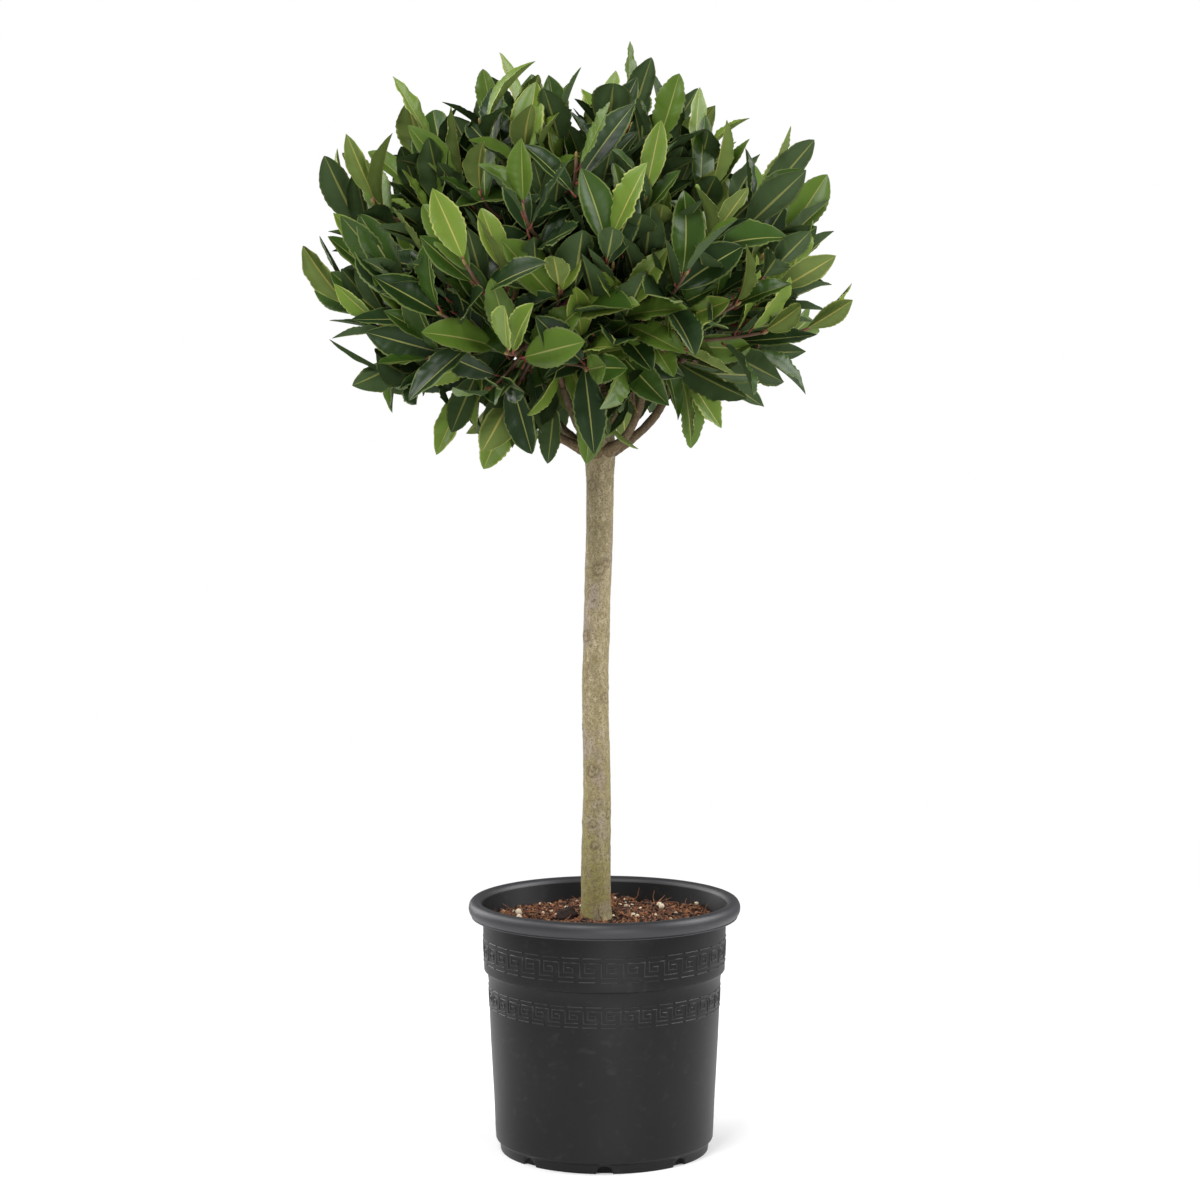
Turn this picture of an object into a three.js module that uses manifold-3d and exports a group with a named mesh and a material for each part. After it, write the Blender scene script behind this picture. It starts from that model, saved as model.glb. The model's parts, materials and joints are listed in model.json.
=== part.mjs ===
// A standard bay laurel: a clear stem with a round head of leaves, growing in a moulded nursery pot.
// Millimetres, +Z up. The origin is the centre of the pot's flat underside, and -Y is the front.
//
// The head is grown. Boughs leave the stem's knuckle in tiers. Each carries one mass of foliage, which
// keeps to its own space: the part of the head that lies nearer to its site than to any other site.
// In a mass, a stem runs on from the bough's tip, shoots branch from that stem, and leaves stand round
// the end of each shoot, turned by the golden angle.

import * as THREE from 'three';
import { mergeVertices } from 'three/addons/utils/BufferGeometryUtils.js';
import Module from 'manifold-3d';

// ---- Driving dimensions ------------------------------------------------------------------------

const FIT_GAP = 0.3; // between pieces that touch
const SHORTEST_EDGE = 0.1;

// Pot
const POT_HEIGHT = 260;
const RIM_RADIUS = 140;
const RIM_WIDTH = 14;
const RIM_DEPTH = 16.5;
const COLLAR_RADIUS = 125; // the wall just under the rim
const COLLAR_FOOT = 188.5; // height of the step below the collar
const COLLAR_STEP = 4;
const WALL_FOOT_RADIUS = 112.5;
const WALL_THICKNESS = 3;
const FOOT_RING_HEIGHT = 10;
const FOOT_RING_RADIUS = 108;
const POT_FACETS = 40;
const DRAIN_COUNT = 8;
const DRAIN_RADIUS = 9;
const DRAIN_DEPTH = 12;

// Compost
const SOIL_LEVEL = 240;
const SOIL_CROWN_FALL = 4; // the surface drops this much towards the wall
const SOIL_FLAT_RADIUS = 45; // level ground round the stem

// Stem: its centre line and its radius, from the cut at the compost to the knuckle's tip
const STEM_LINE = [
  [-9, 0, SOIL_LEVEL + FIT_GAP],
  [-9, 0, 300],
  [-7.8, -1.5, 385],
  [-9.4, -1, 480],
  [-7, 1, 570],
  [-4.8, 2, 650],
  [-5, 0, 778],
];
const STEM_PROFILE = [
  { height: 0, radius: 17.4 }, // root flare
  { height: 5, radius: 16.4 },
  { height: 16, radius: 15.4 },
  { height: 55, radius: 14.9 },
  { height: 130, radius: 14.2 },
  { height: 230, radius: 13.5 },
  { height: 300, radius: 13.4 },
  { height: 380, radius: 13.8 },
  { height: 455, radius: 14.2 },
  { height: 474, radius: 15.4 }, // knuckle, where the lowest boughs leave
  { height: 492, radius: 16 },
  { height: 512, radius: 12.5 },
  { height: 538, radius: 8 },
];
const STEM_FACETS = 18;

// Head: the outline that the furthest leaf tips reach
const HEAD_CENTRE = new THREE.Vector3(-28, 0, 918);
const HEAD_RADIUS = 287;
const HEAD_HALF_HEIGHT = 219;
const SITE_SHARE = 0.63; // how far out a mass is centred
const SPACE_MARGIN = 0.6; // what a mass keeps clear of the border of its space

const TIERS = [
  { name: 'skirt', count: 6, turn: 12, elevation: -20, leaves: 480, rise: 8, radius: 5.2 },
  { name: 'shoulder', count: 5, turn: 48, elevation: 32, leaves: 506, rise: 38, radius: 4.8 },
  { name: 'crest', count: 1, turn: 0, elevation: 90, leaves: 538, rise: 90, radius: 7.6 },
];
const BOUGH_TIP_RADIUS = 3.4;
const BOUGH_FACETS = 6;
const BOUGH_STEPS = 5;

// Foliage
const SEED = 3;
const SHOOT_COUNT = 120;
const SHOOT_RADIUS = 2;
const SHOOT_TIP_RADIUS = 1.2;
const SHOOT_INSET = [64, 84]; // how far short of the head's outline a shoot stops
const BARE_FOOT = -0.97; // no shoot grows more steeply down than this
const STEM_SHARE = [0.2, 0.95]; // where on a mass's stem its shoots branch off
const OUTWARD = 0.8;
const UPWARD = 0.45;
const CORE_DEPTH = [58, 84]; // from the outline down to a mass's core, at the crest and at the foot
const CORE_REACH = 130;
const CORE_ROOM = 4; // what a core keeps clear of its space's border
const CORE_STEM = 2; // bare stem between the bough's tip and the core

const LEAVES_PER_SHOOT = 3;
const LEAF_LENGTH = 90;
const LEAF_WIDTH = 38;
const LEAF_THICKNESS = 1.3;
const LEAF_SIZES = [0.84, 1.08];
const LEAF_TRIES = 7; // ways round its shoot that a leaf is offered
const LEAF_SPACING = 9;
const LEAF_TILT = [24, 16]; // of the youngest leaf from the shoot, and more for each older one
const LEAF_SINK = 1.5; // how far a leaf's root goes past the shoot's axis
const LEAF_FOLD = 4; // how far its margins stand above its rib
const LEAF_DROOP = 3;
const WIDEST_AT = 0.45;

const GOLDEN_ANGLE = Math.PI * (3 - Math.sqrt(5));
const UP = new THREE.Vector3(0, 0, 1);

// ---- Solids ------------------------------------------------------------------------------------

const wasm = await Module();
wasm.setup();

// A closed geometry as a solid.
function solidOf(geometry) {
  const loose = geometry.index ? geometry.toNonIndexed() : geometry;
  const bare = new THREE.BufferGeometry();
  bare.setAttribute('position', loose.getAttribute('position'));
  const merged = mergeVertices(bare, 1e-4);
  const corners = merged.index.array;
  const triVerts = [];
  for (let i = 0; i < corners.length; i += 3) {
    const [a, b, c] = corners.slice(i, i + 3);
    if (a !== b && b !== c && c !== a) triVerts.push(a, b, c);
  }
  return new wasm.Manifold(
    new wasm.Mesh({
      numProp: 3,
      vertProperties: merged.getAttribute('position').array,
      triVerts: new Uint32Array(triVerts),
    }),
  );
}

// A solid's largest body as a geometry. Loose scraps and sealed hollows are other bodies, so they go.
// Edges that are next to nothing are closed up first.
function geometryOf(solid) {
  const bodies = solid
    .simplify(SHORTEST_EDGE)
    .decompose()
    .sort((a, b) => b.volume() - a.volume());
  const { vertProperties, triVerts } = bodies[0].getMesh();
  const geometry = new THREE.BufferGeometry();
  geometry.setAttribute('position', new THREE.BufferAttribute(vertProperties, 3));
  geometry.setIndex(new THREE.BufferAttribute(triVerts, 1));
  geometry.computeVertexNormals();
  return geometry;
}

// A body turned about Z from a closed profile of [radius, height] points, wound anticlockwise.
function turned(profile, facets) {
  const points = profile.map(([radius, height]) => new THREE.Vector2(radius, height));
  return new THREE.LatheGeometry(points, facets).rotateX(Math.PI / 2);
}

// Carries a body that stands on Z over to a curve, so that its height runs along the curve.
function bentAlong(curve, geometry, height) {
  const position = geometry.getAttribute('position');
  const point = new THREE.Vector3();
  const turn = new THREE.Quaternion();
  for (let i = 0; i < position.count; i++) {
    const share = THREE.MathUtils.clamp(position.getZ(i) / height, 0, 1);
    turn.setFromUnitVectors(UP, curve.getTangentAt(share));
    point.set(position.getX(i), position.getY(i), 0);
    point.applyQuaternion(turn).add(curve.getPointAt(share));
    position.setXYZ(i, point.x, point.y, point.z);
  }
  return geometry;
}

// A limb that tapers evenly along a curve.
function limb(curve, rootRadius, tipRadius, facets, steps) {
  const length = curve.getLength();
  const cone = new THREE.CylinderGeometry(tipRadius, rootRadius, length, facets, steps);
  cone.rotateX(Math.PI / 2).translate(0, 0, length / 2);
  return solidOf(bentAlong(curve, cone, length));
}

// ---- Chance, and the head's outline ------------------------------------------------------------

// The mulberry32 generator: the same seed gives the same plant.
function seeded(seed) {
  let state = seed >>> 0;
  return () => {
    state = (state + 0x6d2b79f5) >>> 0;
    let mixed = Math.imul(state ^ (state >>> 15), state | 1);
    mixed ^= mixed + Math.imul(mixed ^ (mixed >>> 7), mixed | 61);
    return ((mixed ^ (mixed >>> 14)) >>> 0) / 4294967296;
  };
}

const between = ([low, high], share) => low + (high - low) * share;

function directionOf(azimuth, elevation) {
  const level = Math.cos(elevation);
  return new THREE.Vector3(level * Math.cos(azimuth), level * Math.sin(azimuth), Math.sin(elevation));
}

// How much of the way to the head's outline a point lies: 1 is on it.
function outlineShare(point) {
  const { x, y, z } = point.clone().sub(HEAD_CENTRE);
  return Math.hypot(x / HEAD_RADIUS, y / HEAD_RADIUS, z / HEAD_HALF_HEIGHT);
}

// The distance from the head's centre to its outline in one direction.
function headReach(direction) {
  return 1 / outlineShare(HEAD_CENTRE.clone().add(direction));
}

// ---- Sites and spaces --------------------------------------------------------------------------

const sites = TIERS.flatMap((tier) =>
  Array.from({ length: tier.count }, (_, i) => {
    const azimuth = THREE.MathUtils.degToRad(tier.turn + (360 * i) / tier.count);
    const outward = directionOf(azimuth, THREE.MathUtils.degToRad(tier.elevation));
    const reach = headReach(outward) * SITE_SHARE;
    return {
      tier,
      azimuth,
      name: tier.count > 1 ? `${tier.name}_${i + 1}` : tier.name,
      place: HEAD_CENTRE.clone().addScaledVector(outward, reach),
    };
  }),
);

function nearestSite(point) {
  return sites.reduce((best, site) =>
    site.place.distanceTo(point) < best.place.distanceTo(point) ? site : best,
  );
}

// How far a point lies inside the border between a site's space and its neighbours' spaces.
function borderRoom(site, point) {
  const rooms = sites
    .filter((other) => other !== site)
    .map((other) => {
      const nearer = other.place.distanceToSquared(point) - site.place.distanceToSquared(point);
      return nearer / (2 * other.place.distanceTo(site.place));
    });
  return Math.min(...rooms);
}

// A space is convex, so a body with all its corners inside lies inside.
function keepsToSpace(site, corners, girth = 0) {
  return corners.every(
    (corner) => outlineShare(corner) <= 1 && borderRoom(site, corner) >= SPACE_MARGIN + girth,
  );
}

// ---- Pot and compost ---------------------------------------------------------------------------

const INNER_RIM = RIM_RADIUS - RIM_WIDTH;
const STEP_RADIUS = COLLAR_RADIUS - 1 - COLLAR_STEP; // the wall just under the step

// The rim's roll, from its inner edge over the crest to its lower edge.
function rimRoll() {
  const outline = new THREE.CubicBezierCurve(
    new THREE.Vector2(RIM_RADIUS - 3, POT_HEIGHT - RIM_DEPTH),
    new THREE.Vector2(RIM_RADIUS + 1.5, POT_HEIGHT - RIM_DEPTH * 0.6),
    new THREE.Vector2(RIM_RADIUS + 1, POT_HEIGHT + 1.5),
    new THREE.Vector2(RIM_RADIUS - RIM_WIDTH * 0.55, POT_HEIGHT),
  );
  return outline.getPoints(4).map(({ x, y }) => [x, y]);
}

function potSolid() {
  const floor = WALL_THICKNESS + 1;
  const lip = POT_HEIGHT - RIM_DEPTH;
  const outside = [
    [0, 0],
    [FOOT_RING_RADIUS - 2, 0],
    [FOOT_RING_RADIUS, FOOT_RING_HEIGHT],
    [WALL_FOOT_RADIUS - 2, FOOT_RING_HEIGHT + 1.5],
    [WALL_FOOT_RADIUS, FOOT_RING_HEIGHT + 8],
    [STEP_RADIUS, COLLAR_FOOT - 5],
    [STEP_RADIUS + COLLAR_STEP, COLLAR_FOOT],
    [COLLAR_RADIUS, lip],
  ];
  const inside = [
    [INNER_RIM, POT_HEIGHT - 4],
    [COLLAR_RADIUS - WALL_THICKNESS, lip - 2],
    [STEP_RADIUS + COLLAR_STEP - WALL_THICKNESS, COLLAR_FOOT + 2],
    [STEP_RADIUS - WALL_THICKNESS, COLLAR_FOOT - 3],
    [WALL_FOOT_RADIUS - WALL_THICKNESS, FOOT_RING_HEIGHT + 8],
    [FOOT_RING_RADIUS - WALL_THICKNESS, floor],
    [0, floor],
  ];
  const shell = solidOf(turned([...outside, ...rimRoll(), ...inside], POT_FACETS));
  const drain = new THREE.CylinderGeometry(DRAIN_RADIUS, DRAIN_RADIUS, DRAIN_DEPTH, 10);
  drain.translate(0, -FOOT_RING_RADIUS, 0);
  const drains = Array.from({ length: DRAIN_COUNT }, (_, i) =>
    solidOf(drain.clone().rotateZ((2 * Math.PI * i) / DRAIN_COUNT)),
  );
  return shell.subtract(wasm.Manifold.union(drains));
}

function soilSolid() {
  const wall = WALL_THICKNESS + FIT_GAP;
  const edge = SOIL_LEVEL - SOIL_CROWN_FALL;
  const floor = WALL_THICKNESS + 1 + FIT_GAP;
  const profile = [
    [0, floor],
    [FOOT_RING_RADIUS - wall, floor],
    [WALL_FOOT_RADIUS - wall, FOOT_RING_HEIGHT + 8],
    [STEP_RADIUS - wall, COLLAR_FOOT - 3],
    [STEP_RADIUS + COLLAR_STEP - wall, COLLAR_FOOT + 2],
    [COLLAR_RADIUS - wall - 0.2, edge],
    [SOIL_FLAT_RADIUS, SOIL_LEVEL],
    [0, SOIL_LEVEL],
  ];
  return solidOf(turned(profile, POT_FACETS));
}

// ---- Stem and boughs ---------------------------------------------------------------------------

const stemCurve = new THREE.CatmullRomCurve3(
  STEM_LINE.map(([x, y, z]) => new THREE.Vector3(x, y, z)),
);
const stemHeight = STEM_PROFILE.at(-1).height;

// The stem, or with some growth the room that other limbs leave it.
function stemSolid(growth = 0) {
  const sides = STEM_PROFILE.map(({ height, radius }) => [radius + growth, height]);
  const body = turned([[0, 0], ...sides, [0, stemHeight]], STEM_FACETS);
  return solidOf(bentAlong(stemCurve, body, stemHeight));
}

const stemPoint = (height) => stemCurve.getPointAt(height / stemHeight);

// How far a mass's core goes from its site in one direction.
function coreReach(site, way) {
  const place = new THREE.Vector3();
  let reach = CORE_REACH;
  for (; reach > 12; reach -= 2) {
    place.copy(site.place).addScaledVector(way, reach);
    const outward = place.clone().sub(HEAD_CENTRE).normalize();
    const depth = headReach(outward) - place.distanceTo(HEAD_CENTRE);
    const lowest = between(CORE_DEPTH, (1 - outward.z) / 2);
    if (depth > lowest && borderRoom(site, place) > CORE_ROOM) break;
  }
  return reach;
}

// A bough leaves the knuckle near its tier's rise and curves up to its mass.
for (const site of sites) {
  const { tier, place, azimuth } = site;
  const root = stemPoint(tier.leaves);
  const inward = root.clone().sub(place).normalize();
  const end = place.clone().addScaledVector(inward, coreReach(site, inward) + CORE_STEM);
  const leave = directionOf(azimuth, THREE.MathUtils.degToRad(tier.rise));
  const bend = root.clone().addScaledVector(leave, root.distanceTo(end) * 0.5);
  site.bough = new THREE.QuadraticBezierCurve3(root, bend, end);
  site.growth = site.bough.getTangentAt(1);
  const foot = end.clone().addScaledVector(site.growth, FIT_GAP);
  const heart = place.clone().lerp(foot, 0.15);
  site.stem = new THREE.QuadraticBezierCurve3(
    foot,
    foot.clone().addScaledVector(site.growth, foot.distanceTo(heart) * 0.5),
    heart,
  );
}

function boughSolid(site, taken) {
  const { bough, tier } = site;
  const whole = limb(bough, tier.radius, BOUGH_TIP_RADIUS, BOUGH_FACETS, BOUGH_STEPS);
  return whole.subtract(taken);
}

// ---- Foliage -----------------------------------------------------------------------------------

function coreSolid(site) {
  const ball = new THREE.IcosahedronGeometry(1, 1);
  const position = ball.getAttribute('position');
  const way = new THREE.Vector3();
  for (let i = 0; i < position.count; i++) {
    way.fromBufferAttribute(position, i).normalize();
    const corner = site.place.clone().addScaledVector(way, coreReach(site, way));
    position.setXYZ(i, corner.x, corner.y, corner.z);
  }
  return solidOf(ball);
}

// The points where shoots end lie evenly over the head. Each shoot springs from the stem of its mass.
function shootsOf(site) {
  const shoots = [];
  for (let k = 0; k < SHOOT_COUNT; k++) {
    const height = 1 - (2 * k + 1) / SHOOT_COUNT;
    const outward = directionOf(k * GOLDEN_ANGLE, Math.asin(height));
    const chance = seeded(SEED + k);
    const reach = headReach(outward) - between(SHOOT_INSET, chance());
    const tip = HEAD_CENTRE.clone().addScaledVector(outward, reach);
    if (height < BARE_FOOT || nearestSite(tip) !== site) continue;
    const root = site.stem.getPointAt(between(STEM_SHARE, chance()));
    const lift = UPWARD * (1 + Math.min(0, outward.z));
    const growth = outward.clone().multiplyScalar(OUTWARD).addScaledVector(UP, lift).normalize();
    const bend = tip.clone().addScaledVector(growth, -root.distanceTo(tip) * 0.45);
    shoots.push({ root, bend, tip, growth, turn: chance() * 2 * Math.PI, chance });
  }
  return shoots;
}

// A leaf's own frame: along it, across it, and out of its upper face, which looks at the shoot's tip.
function leafFrame(shoot, rank, turn, tilt) {
  const { growth, tip } = shoot;
  const side = new THREE.Vector3(1, 0, 0).cross(growth).normalize().applyAxisAngle(growth, turn);
  const along = growth.clone().multiplyScalar(Math.cos(tilt)).addScaledVector(side, Math.sin(tilt));
  const face = growth.clone().multiplyScalar(Math.sin(tilt)).addScaledVector(side, -Math.cos(tilt));
  const root = tip.clone().addScaledVector(growth, -LEAF_SPACING * rank);
  root.addScaledVector(along, -LEAF_SINK);
  return new THREE.Matrix4().makeBasis(along, face.clone().cross(along), face).setPosition(root);
}

function cornersOf(geometry) {
  const position = geometry.getAttribute('position');
  return Array.from({ length: position.count }, (_, i) =>
    new THREE.Vector3().fromBufferAttribute(position, i),
  );
}

// A blade is an eight-sided bead drawn out flat, folded along its rib and bent down at its tip.
function bladeGeometry(size) {
  const bead = new THREE.OctahedronGeometry(1);
  const position = bead.getAttribute('position');
  for (let i = 0; i < position.count; i++) {
    const [x, y, z] = [position.getX(i), position.getY(i), position.getZ(i)];
    const share = WIDEST_AT + x * (x < 0 ? WIDEST_AT : 1 - WIDEST_AT);
    const lift = (z * LEAF_THICKNESS) / 2 + Math.abs(y) * LEAF_FOLD - Math.max(0, x) * LEAF_DROOP;
    position.setXYZ(i, LEAF_LENGTH * size * share, (y * LEAF_WIDTH * size) / 2, lift);
  }
  return bead;
}

// The room that a limb fills, as short straight stretches with a radius each.
function roomOf(curve, rootRadius, tipRadius) {
  const points = curve.getSpacedPoints(BOUGH_STEPS);
  return points.slice(1).map((end, i) => ({
    line: new THREE.Line3(points[i], end),
    radius: THREE.MathUtils.lerp(rootRadius, tipRadius, i / BOUGH_STEPS),
  }));
}

// True if a stretch from root to tip, as wide as girth, stays clear of every limb.
function clearOfLimbs(limbs, root, tip, girth) {
  const point = new THREE.Vector3();
  const near = new THREE.Vector3();
  for (let share = 0; share <= 1; share += 0.1) {
    point.lerpVectors(root, tip, share);
    const width = girth * Math.sin(Math.PI * THREE.MathUtils.clamp(share, 0.05, 0.95));
    for (const { line, radius } of limbs) {
      line.closestPointToPoint(point, true, near);
      if (near.distanceTo(point) < radius + width + 1.5) return false;
    }
  }
  return true;
}

// A leaf takes the first turn about its shoot that keeps it to its space and off the limbs.
function placedLeaf(site, shoot, rank, limbs) {
  const tilt = THREE.MathUtils.degToRad(LEAF_TILT[0] + LEAF_TILT[1] * rank + 14 * shoot.chance());
  const size = between(LEAF_SIZES, shoot.chance());
  for (let attempt = 0; attempt < LEAF_TRIES; attempt++) {
    const turn = shoot.turn + rank * GOLDEN_ANGLE + (2 * Math.PI * attempt) / LEAF_TRIES;
    const frame = leafFrame(shoot, rank, turn, tilt);
    const leaf = bladeGeometry(size).applyMatrix4(frame);
    const root = new THREE.Vector3().setFromMatrixPosition(frame);
    const tip = new THREE.Vector3(LEAF_LENGTH * size, 0, -LEAF_DROOP).applyMatrix4(frame);
    const clear = clearOfLimbs(limbs, root, tip, (LEAF_WIDTH * size) / 2);
    if (clear && keepsToSpace(site, cornersOf(leaf))) return leaf;
  }
  return null;
}

function massSolid(site, limbs) {
  const parts = [coreSolid(site)];
  parts.push(limb(site.stem, BOUGH_TIP_RADIUS, SHOOT_RADIUS, 5, 2));
  for (const shoot of shootsOf(site)) {
    const curve = new THREE.QuadraticBezierCurve3(shoot.root, shoot.bend, shoot.tip);
    const along = curve.getSpacedPoints(6);
    const clear = along.every((point) => clearOfLimbs(limbs, point, point, SHOOT_RADIUS));
    if (!clear || !keepsToSpace(site, along, SHOOT_RADIUS)) continue;
    parts.push(limb(curve, SHOOT_RADIUS, SHOOT_TIP_RADIUS, 3, 3));
    for (let rank = 0; rank < LEAVES_PER_SHOOT; rank++) {
      const leaf = placedLeaf(site, shoot, rank, limbs);
      if (leaf) parts.push(solidOf(leaf));
    }
  }
  return wasm.Manifold.union(parts);
}

// ---- Finishes and assembly ---------------------------------------------------------------------

const FINISHES = {
  pot: { color: 0x343436, roughness: 0.55, metalness: 0 },
  soil: { color: 0x4a2b1c, roughness: 0.95, metalness: 0 },
  bark: { color: 0x877a5d, roughness: 0.85, metalness: 0 },
  leaf: { color: 0x3f6a2c, roughness: 0.45, metalness: 0 },
};

const plant = new THREE.Group();

function add(name, solid, finish) {
  const mesh = new THREE.Mesh(geometryOf(solid), new THREE.MeshStandardMaterial(FINISHES[finish]));
  mesh.name = name;
  plant.add(mesh);
}

add('pot', potSolid(), 'pot');
add('soil', soilSolid(), 'soil');
add('trunk', stemSolid(), 'bark');

// Each bough is cut clear of the stem and of the boughs made before it.
let taken = stemSolid(FIT_GAP);
for (const site of sites) {
  add(`bough_${site.name}`, boughSolid(site, taken), 'bark');
  const { bough, tier } = site;
  const grown = limb(bough, tier.radius + FIT_GAP, BOUGH_TIP_RADIUS + FIT_GAP, BOUGH_FACETS, BOUGH_STEPS);
  taken = taken.add(grown);
}

const limbRooms = [
  ...roomOf(stemCurve, 17, 10),
  ...sites.flatMap(({ bough, tier }) => roomOf(bough, tier.radius, BOUGH_TIP_RADIUS)),
];
for (const site of sites) {
  add(`foliage_${site.name}`, massSolid(site, limbRooms).subtract(taken), 'leaf');
}

export default plant;
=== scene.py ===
# %% [markdown]
# # A standard bay laurel in its nursery pot
# A standard is a shrub trained like a small tree: one bare stem, and a clipped ball of leaves on top.
# This lesson dresses the plain solids of the model. They fix every size and place, and each piece
# made here stands for the solids that it replaces. All lengths below are in millimetres until a mesh
# is made, because that is how a grower or a pot maker would give them.

# %% Load the frame
import json
import math

import bpy
import numpy as np
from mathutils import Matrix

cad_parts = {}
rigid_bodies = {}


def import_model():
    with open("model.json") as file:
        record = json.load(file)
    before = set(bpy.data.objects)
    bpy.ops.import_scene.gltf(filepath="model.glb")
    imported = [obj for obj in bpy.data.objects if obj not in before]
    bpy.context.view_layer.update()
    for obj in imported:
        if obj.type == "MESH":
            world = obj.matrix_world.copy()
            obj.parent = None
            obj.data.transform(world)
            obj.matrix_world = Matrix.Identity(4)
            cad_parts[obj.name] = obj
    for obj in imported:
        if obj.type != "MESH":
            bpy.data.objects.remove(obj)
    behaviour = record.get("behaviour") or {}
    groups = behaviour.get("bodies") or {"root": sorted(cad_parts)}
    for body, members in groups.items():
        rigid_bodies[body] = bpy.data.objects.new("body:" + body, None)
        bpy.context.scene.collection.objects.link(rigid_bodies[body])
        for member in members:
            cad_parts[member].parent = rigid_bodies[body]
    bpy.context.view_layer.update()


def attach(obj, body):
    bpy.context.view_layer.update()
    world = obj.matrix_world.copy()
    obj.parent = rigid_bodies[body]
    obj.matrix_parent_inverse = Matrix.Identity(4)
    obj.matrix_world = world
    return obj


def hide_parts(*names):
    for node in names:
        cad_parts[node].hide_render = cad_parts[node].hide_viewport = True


for leftover in list(bpy.data.objects):
    bpy.data.objects.remove(leftover, do_unlink=True)

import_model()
scene = bpy.context.scene
MM = 0.001  # a millimetre in metres

# %% [markdown]
# ## The camera
# A tall thin thing keeps its true proportion when it is seen from far off through a long lens. So the
# camera stands 3.2 m away, at the height of the head, and looks down a little, to show the compost.

# %% Camera
CAMERA_PLACE = (-0.0046, -3.2462, 0.8631)
CAMERA_DIP = 5.162  # degrees below level
LENS = 95.64

camera_data = bpy.data.cameras.new("camera")
camera_data.lens = LENS
camera_data.sensor_width = 36
camera_data.sensor_fit = "HORIZONTAL"
camera = bpy.data.objects.new("camera", camera_data)
camera.location = CAMERA_PLACE
camera.rotation_euler = (math.radians(90 - CAMERA_DIP), 0, 0)
scene.collection.objects.link(camera)
scene.camera = camera

# %% [markdown]
# ## Floor and light
# A white room gives soft light from all round. One large lamp in front and above models the leaves,
# and weaker ones from the sides pick out edges. Large lamps have soft-edged shadows, which is what a
# softbox is for. The backdrop is white where the camera looks straight at it, yet it lights the plant
# more gently, so that the depth of the head stays dark. The floor fades out into it, as a studio's
# curved sweep does.


# %% Floor and lamps
def principled(name, colour, roughness, **sockets):
    """A material with plain values on the Principled shader's own sockets."""
    made = bpy.data.materials.new(name)
    made.use_nodes = True
    shader = made.node_tree.nodes["Principled BSDF"]
    shader.inputs["Base Color"].default_value = (*colour, 1)
    shader.inputs["Roughness"].default_value = roughness
    for socket, value in sockets.items():
        shader.inputs[socket.replace("_", " ").title().replace("Ior", "IOR")].default_value = value
    made.diffuse_color = (*colour, 1)
    return made


def wire(tree, kind, links=(), **settings):
    """A node of a kind, with its inputs linked or set by name or number, and its own settings."""
    node = tree.nodes.new(f"ShaderNode{kind}")
    for key, value in settings.items():
        setattr(node, key, value)
    for socket, source in dict(links).items():
        if isinstance(source, bpy.types.NodeSocket):
            tree.links.new(source, node.inputs[socket])
        else:
            node.inputs[socket].default_value = source
    return node


def lamp(name, place, size, watts, aim=(0, 0, 0.75)):
    """A large square lamp: its place and size in metres, and the place that it points at."""
    light = bpy.data.lights.new(name, "AREA")
    light.size = size
    light.energy = watts
    made = bpy.data.objects.new(name, light)
    made.location = place
    away = np.array(place) - np.array(aim)
    level = math.hypot(away[0], away[1])
    made.rotation_euler = (math.atan2(level, away[2]), 0, math.atan2(away[1], away[0]) + math.pi / 2)
    scene.collection.objects.link(made)


FLOOR_FADE = (0.55, 1.9)  # metres from the pot at which the floor starts and ends its fade
WHITE = (1, 1, 1, 1)
ROOM_GLOW = 0.30  # how strongly the room lights the plant, where 1 is how bright it looks

bpy.ops.mesh.primitive_plane_add(size=8)
floor = bpy.context.object
floor.name = "floor"
floor_white = principled(
    "floor_white", (0.86, 0.86, 0.86), 0.95,
    specular_ior_level=0.0, emission_color=WHITE, emission_strength=0.16,
)
tree = floor_white.node_tree
spot = wire(tree, "TexCoord").outputs["Object"]
away = wire(tree, "VectorMath", {0: spot}, operation="LENGTH").outputs["Value"]
fade = {"Value": away, "From Min": FLOOR_FADE[0], "From Max": FLOOR_FADE[1], "To Min": 1, "To Max": 0}
fade = wire(tree, "MapRange", fade, interpolation_type="SMOOTHSTEP").outputs["Result"]
tree.links.new(fade, tree.nodes["Principled BSDF"].inputs["Alpha"])
floor.data.materials.append(floor_white)

world = bpy.data.worlds.new("white_room")
world.use_nodes = True
tree = world.node_tree
glow = tree.nodes["Background"]
glow.inputs["Color"].default_value = WHITE
looked_at = wire(tree, "LightPath").outputs["Is Camera Ray"]
strength = wire(tree, "MapRange", {"Value": looked_at, "To Min": ROOM_GLOW, "To Max": 1.0}).outputs["Result"]
tree.links.new(strength, glow.inputs["Strength"])
scene.world = world
lamp("softbox_front", (-1.1, -2.4, 3.1), 1.4, 85)
lamp("softbox_left", (-2.4, 0.2, 2.0), 1.8, 42)
lamp("softbox_right", (2.4, 0.1, 1.8), 1.8, 78)
lamp("softbox_low", (0.4, -2.4, 0.25), 1.2, 21, aim=(0, 0, 0.8))
lamp("softbox_back", (-2.4, 2.0, 1.1), 1.6, 36)
scene.view_settings.view_transform = "Standard"

# %% [markdown]
# ## Meshes from arrays
# A head of bay has thousands of leaves. Making each as an object would be slow, so every kind is
# worked out as arrays of corners and four-sided faces, and one mesh is made from many of them.


# %% Mesh helpers
def unit(vector):
    return vector / np.linalg.norm(vector)


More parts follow.
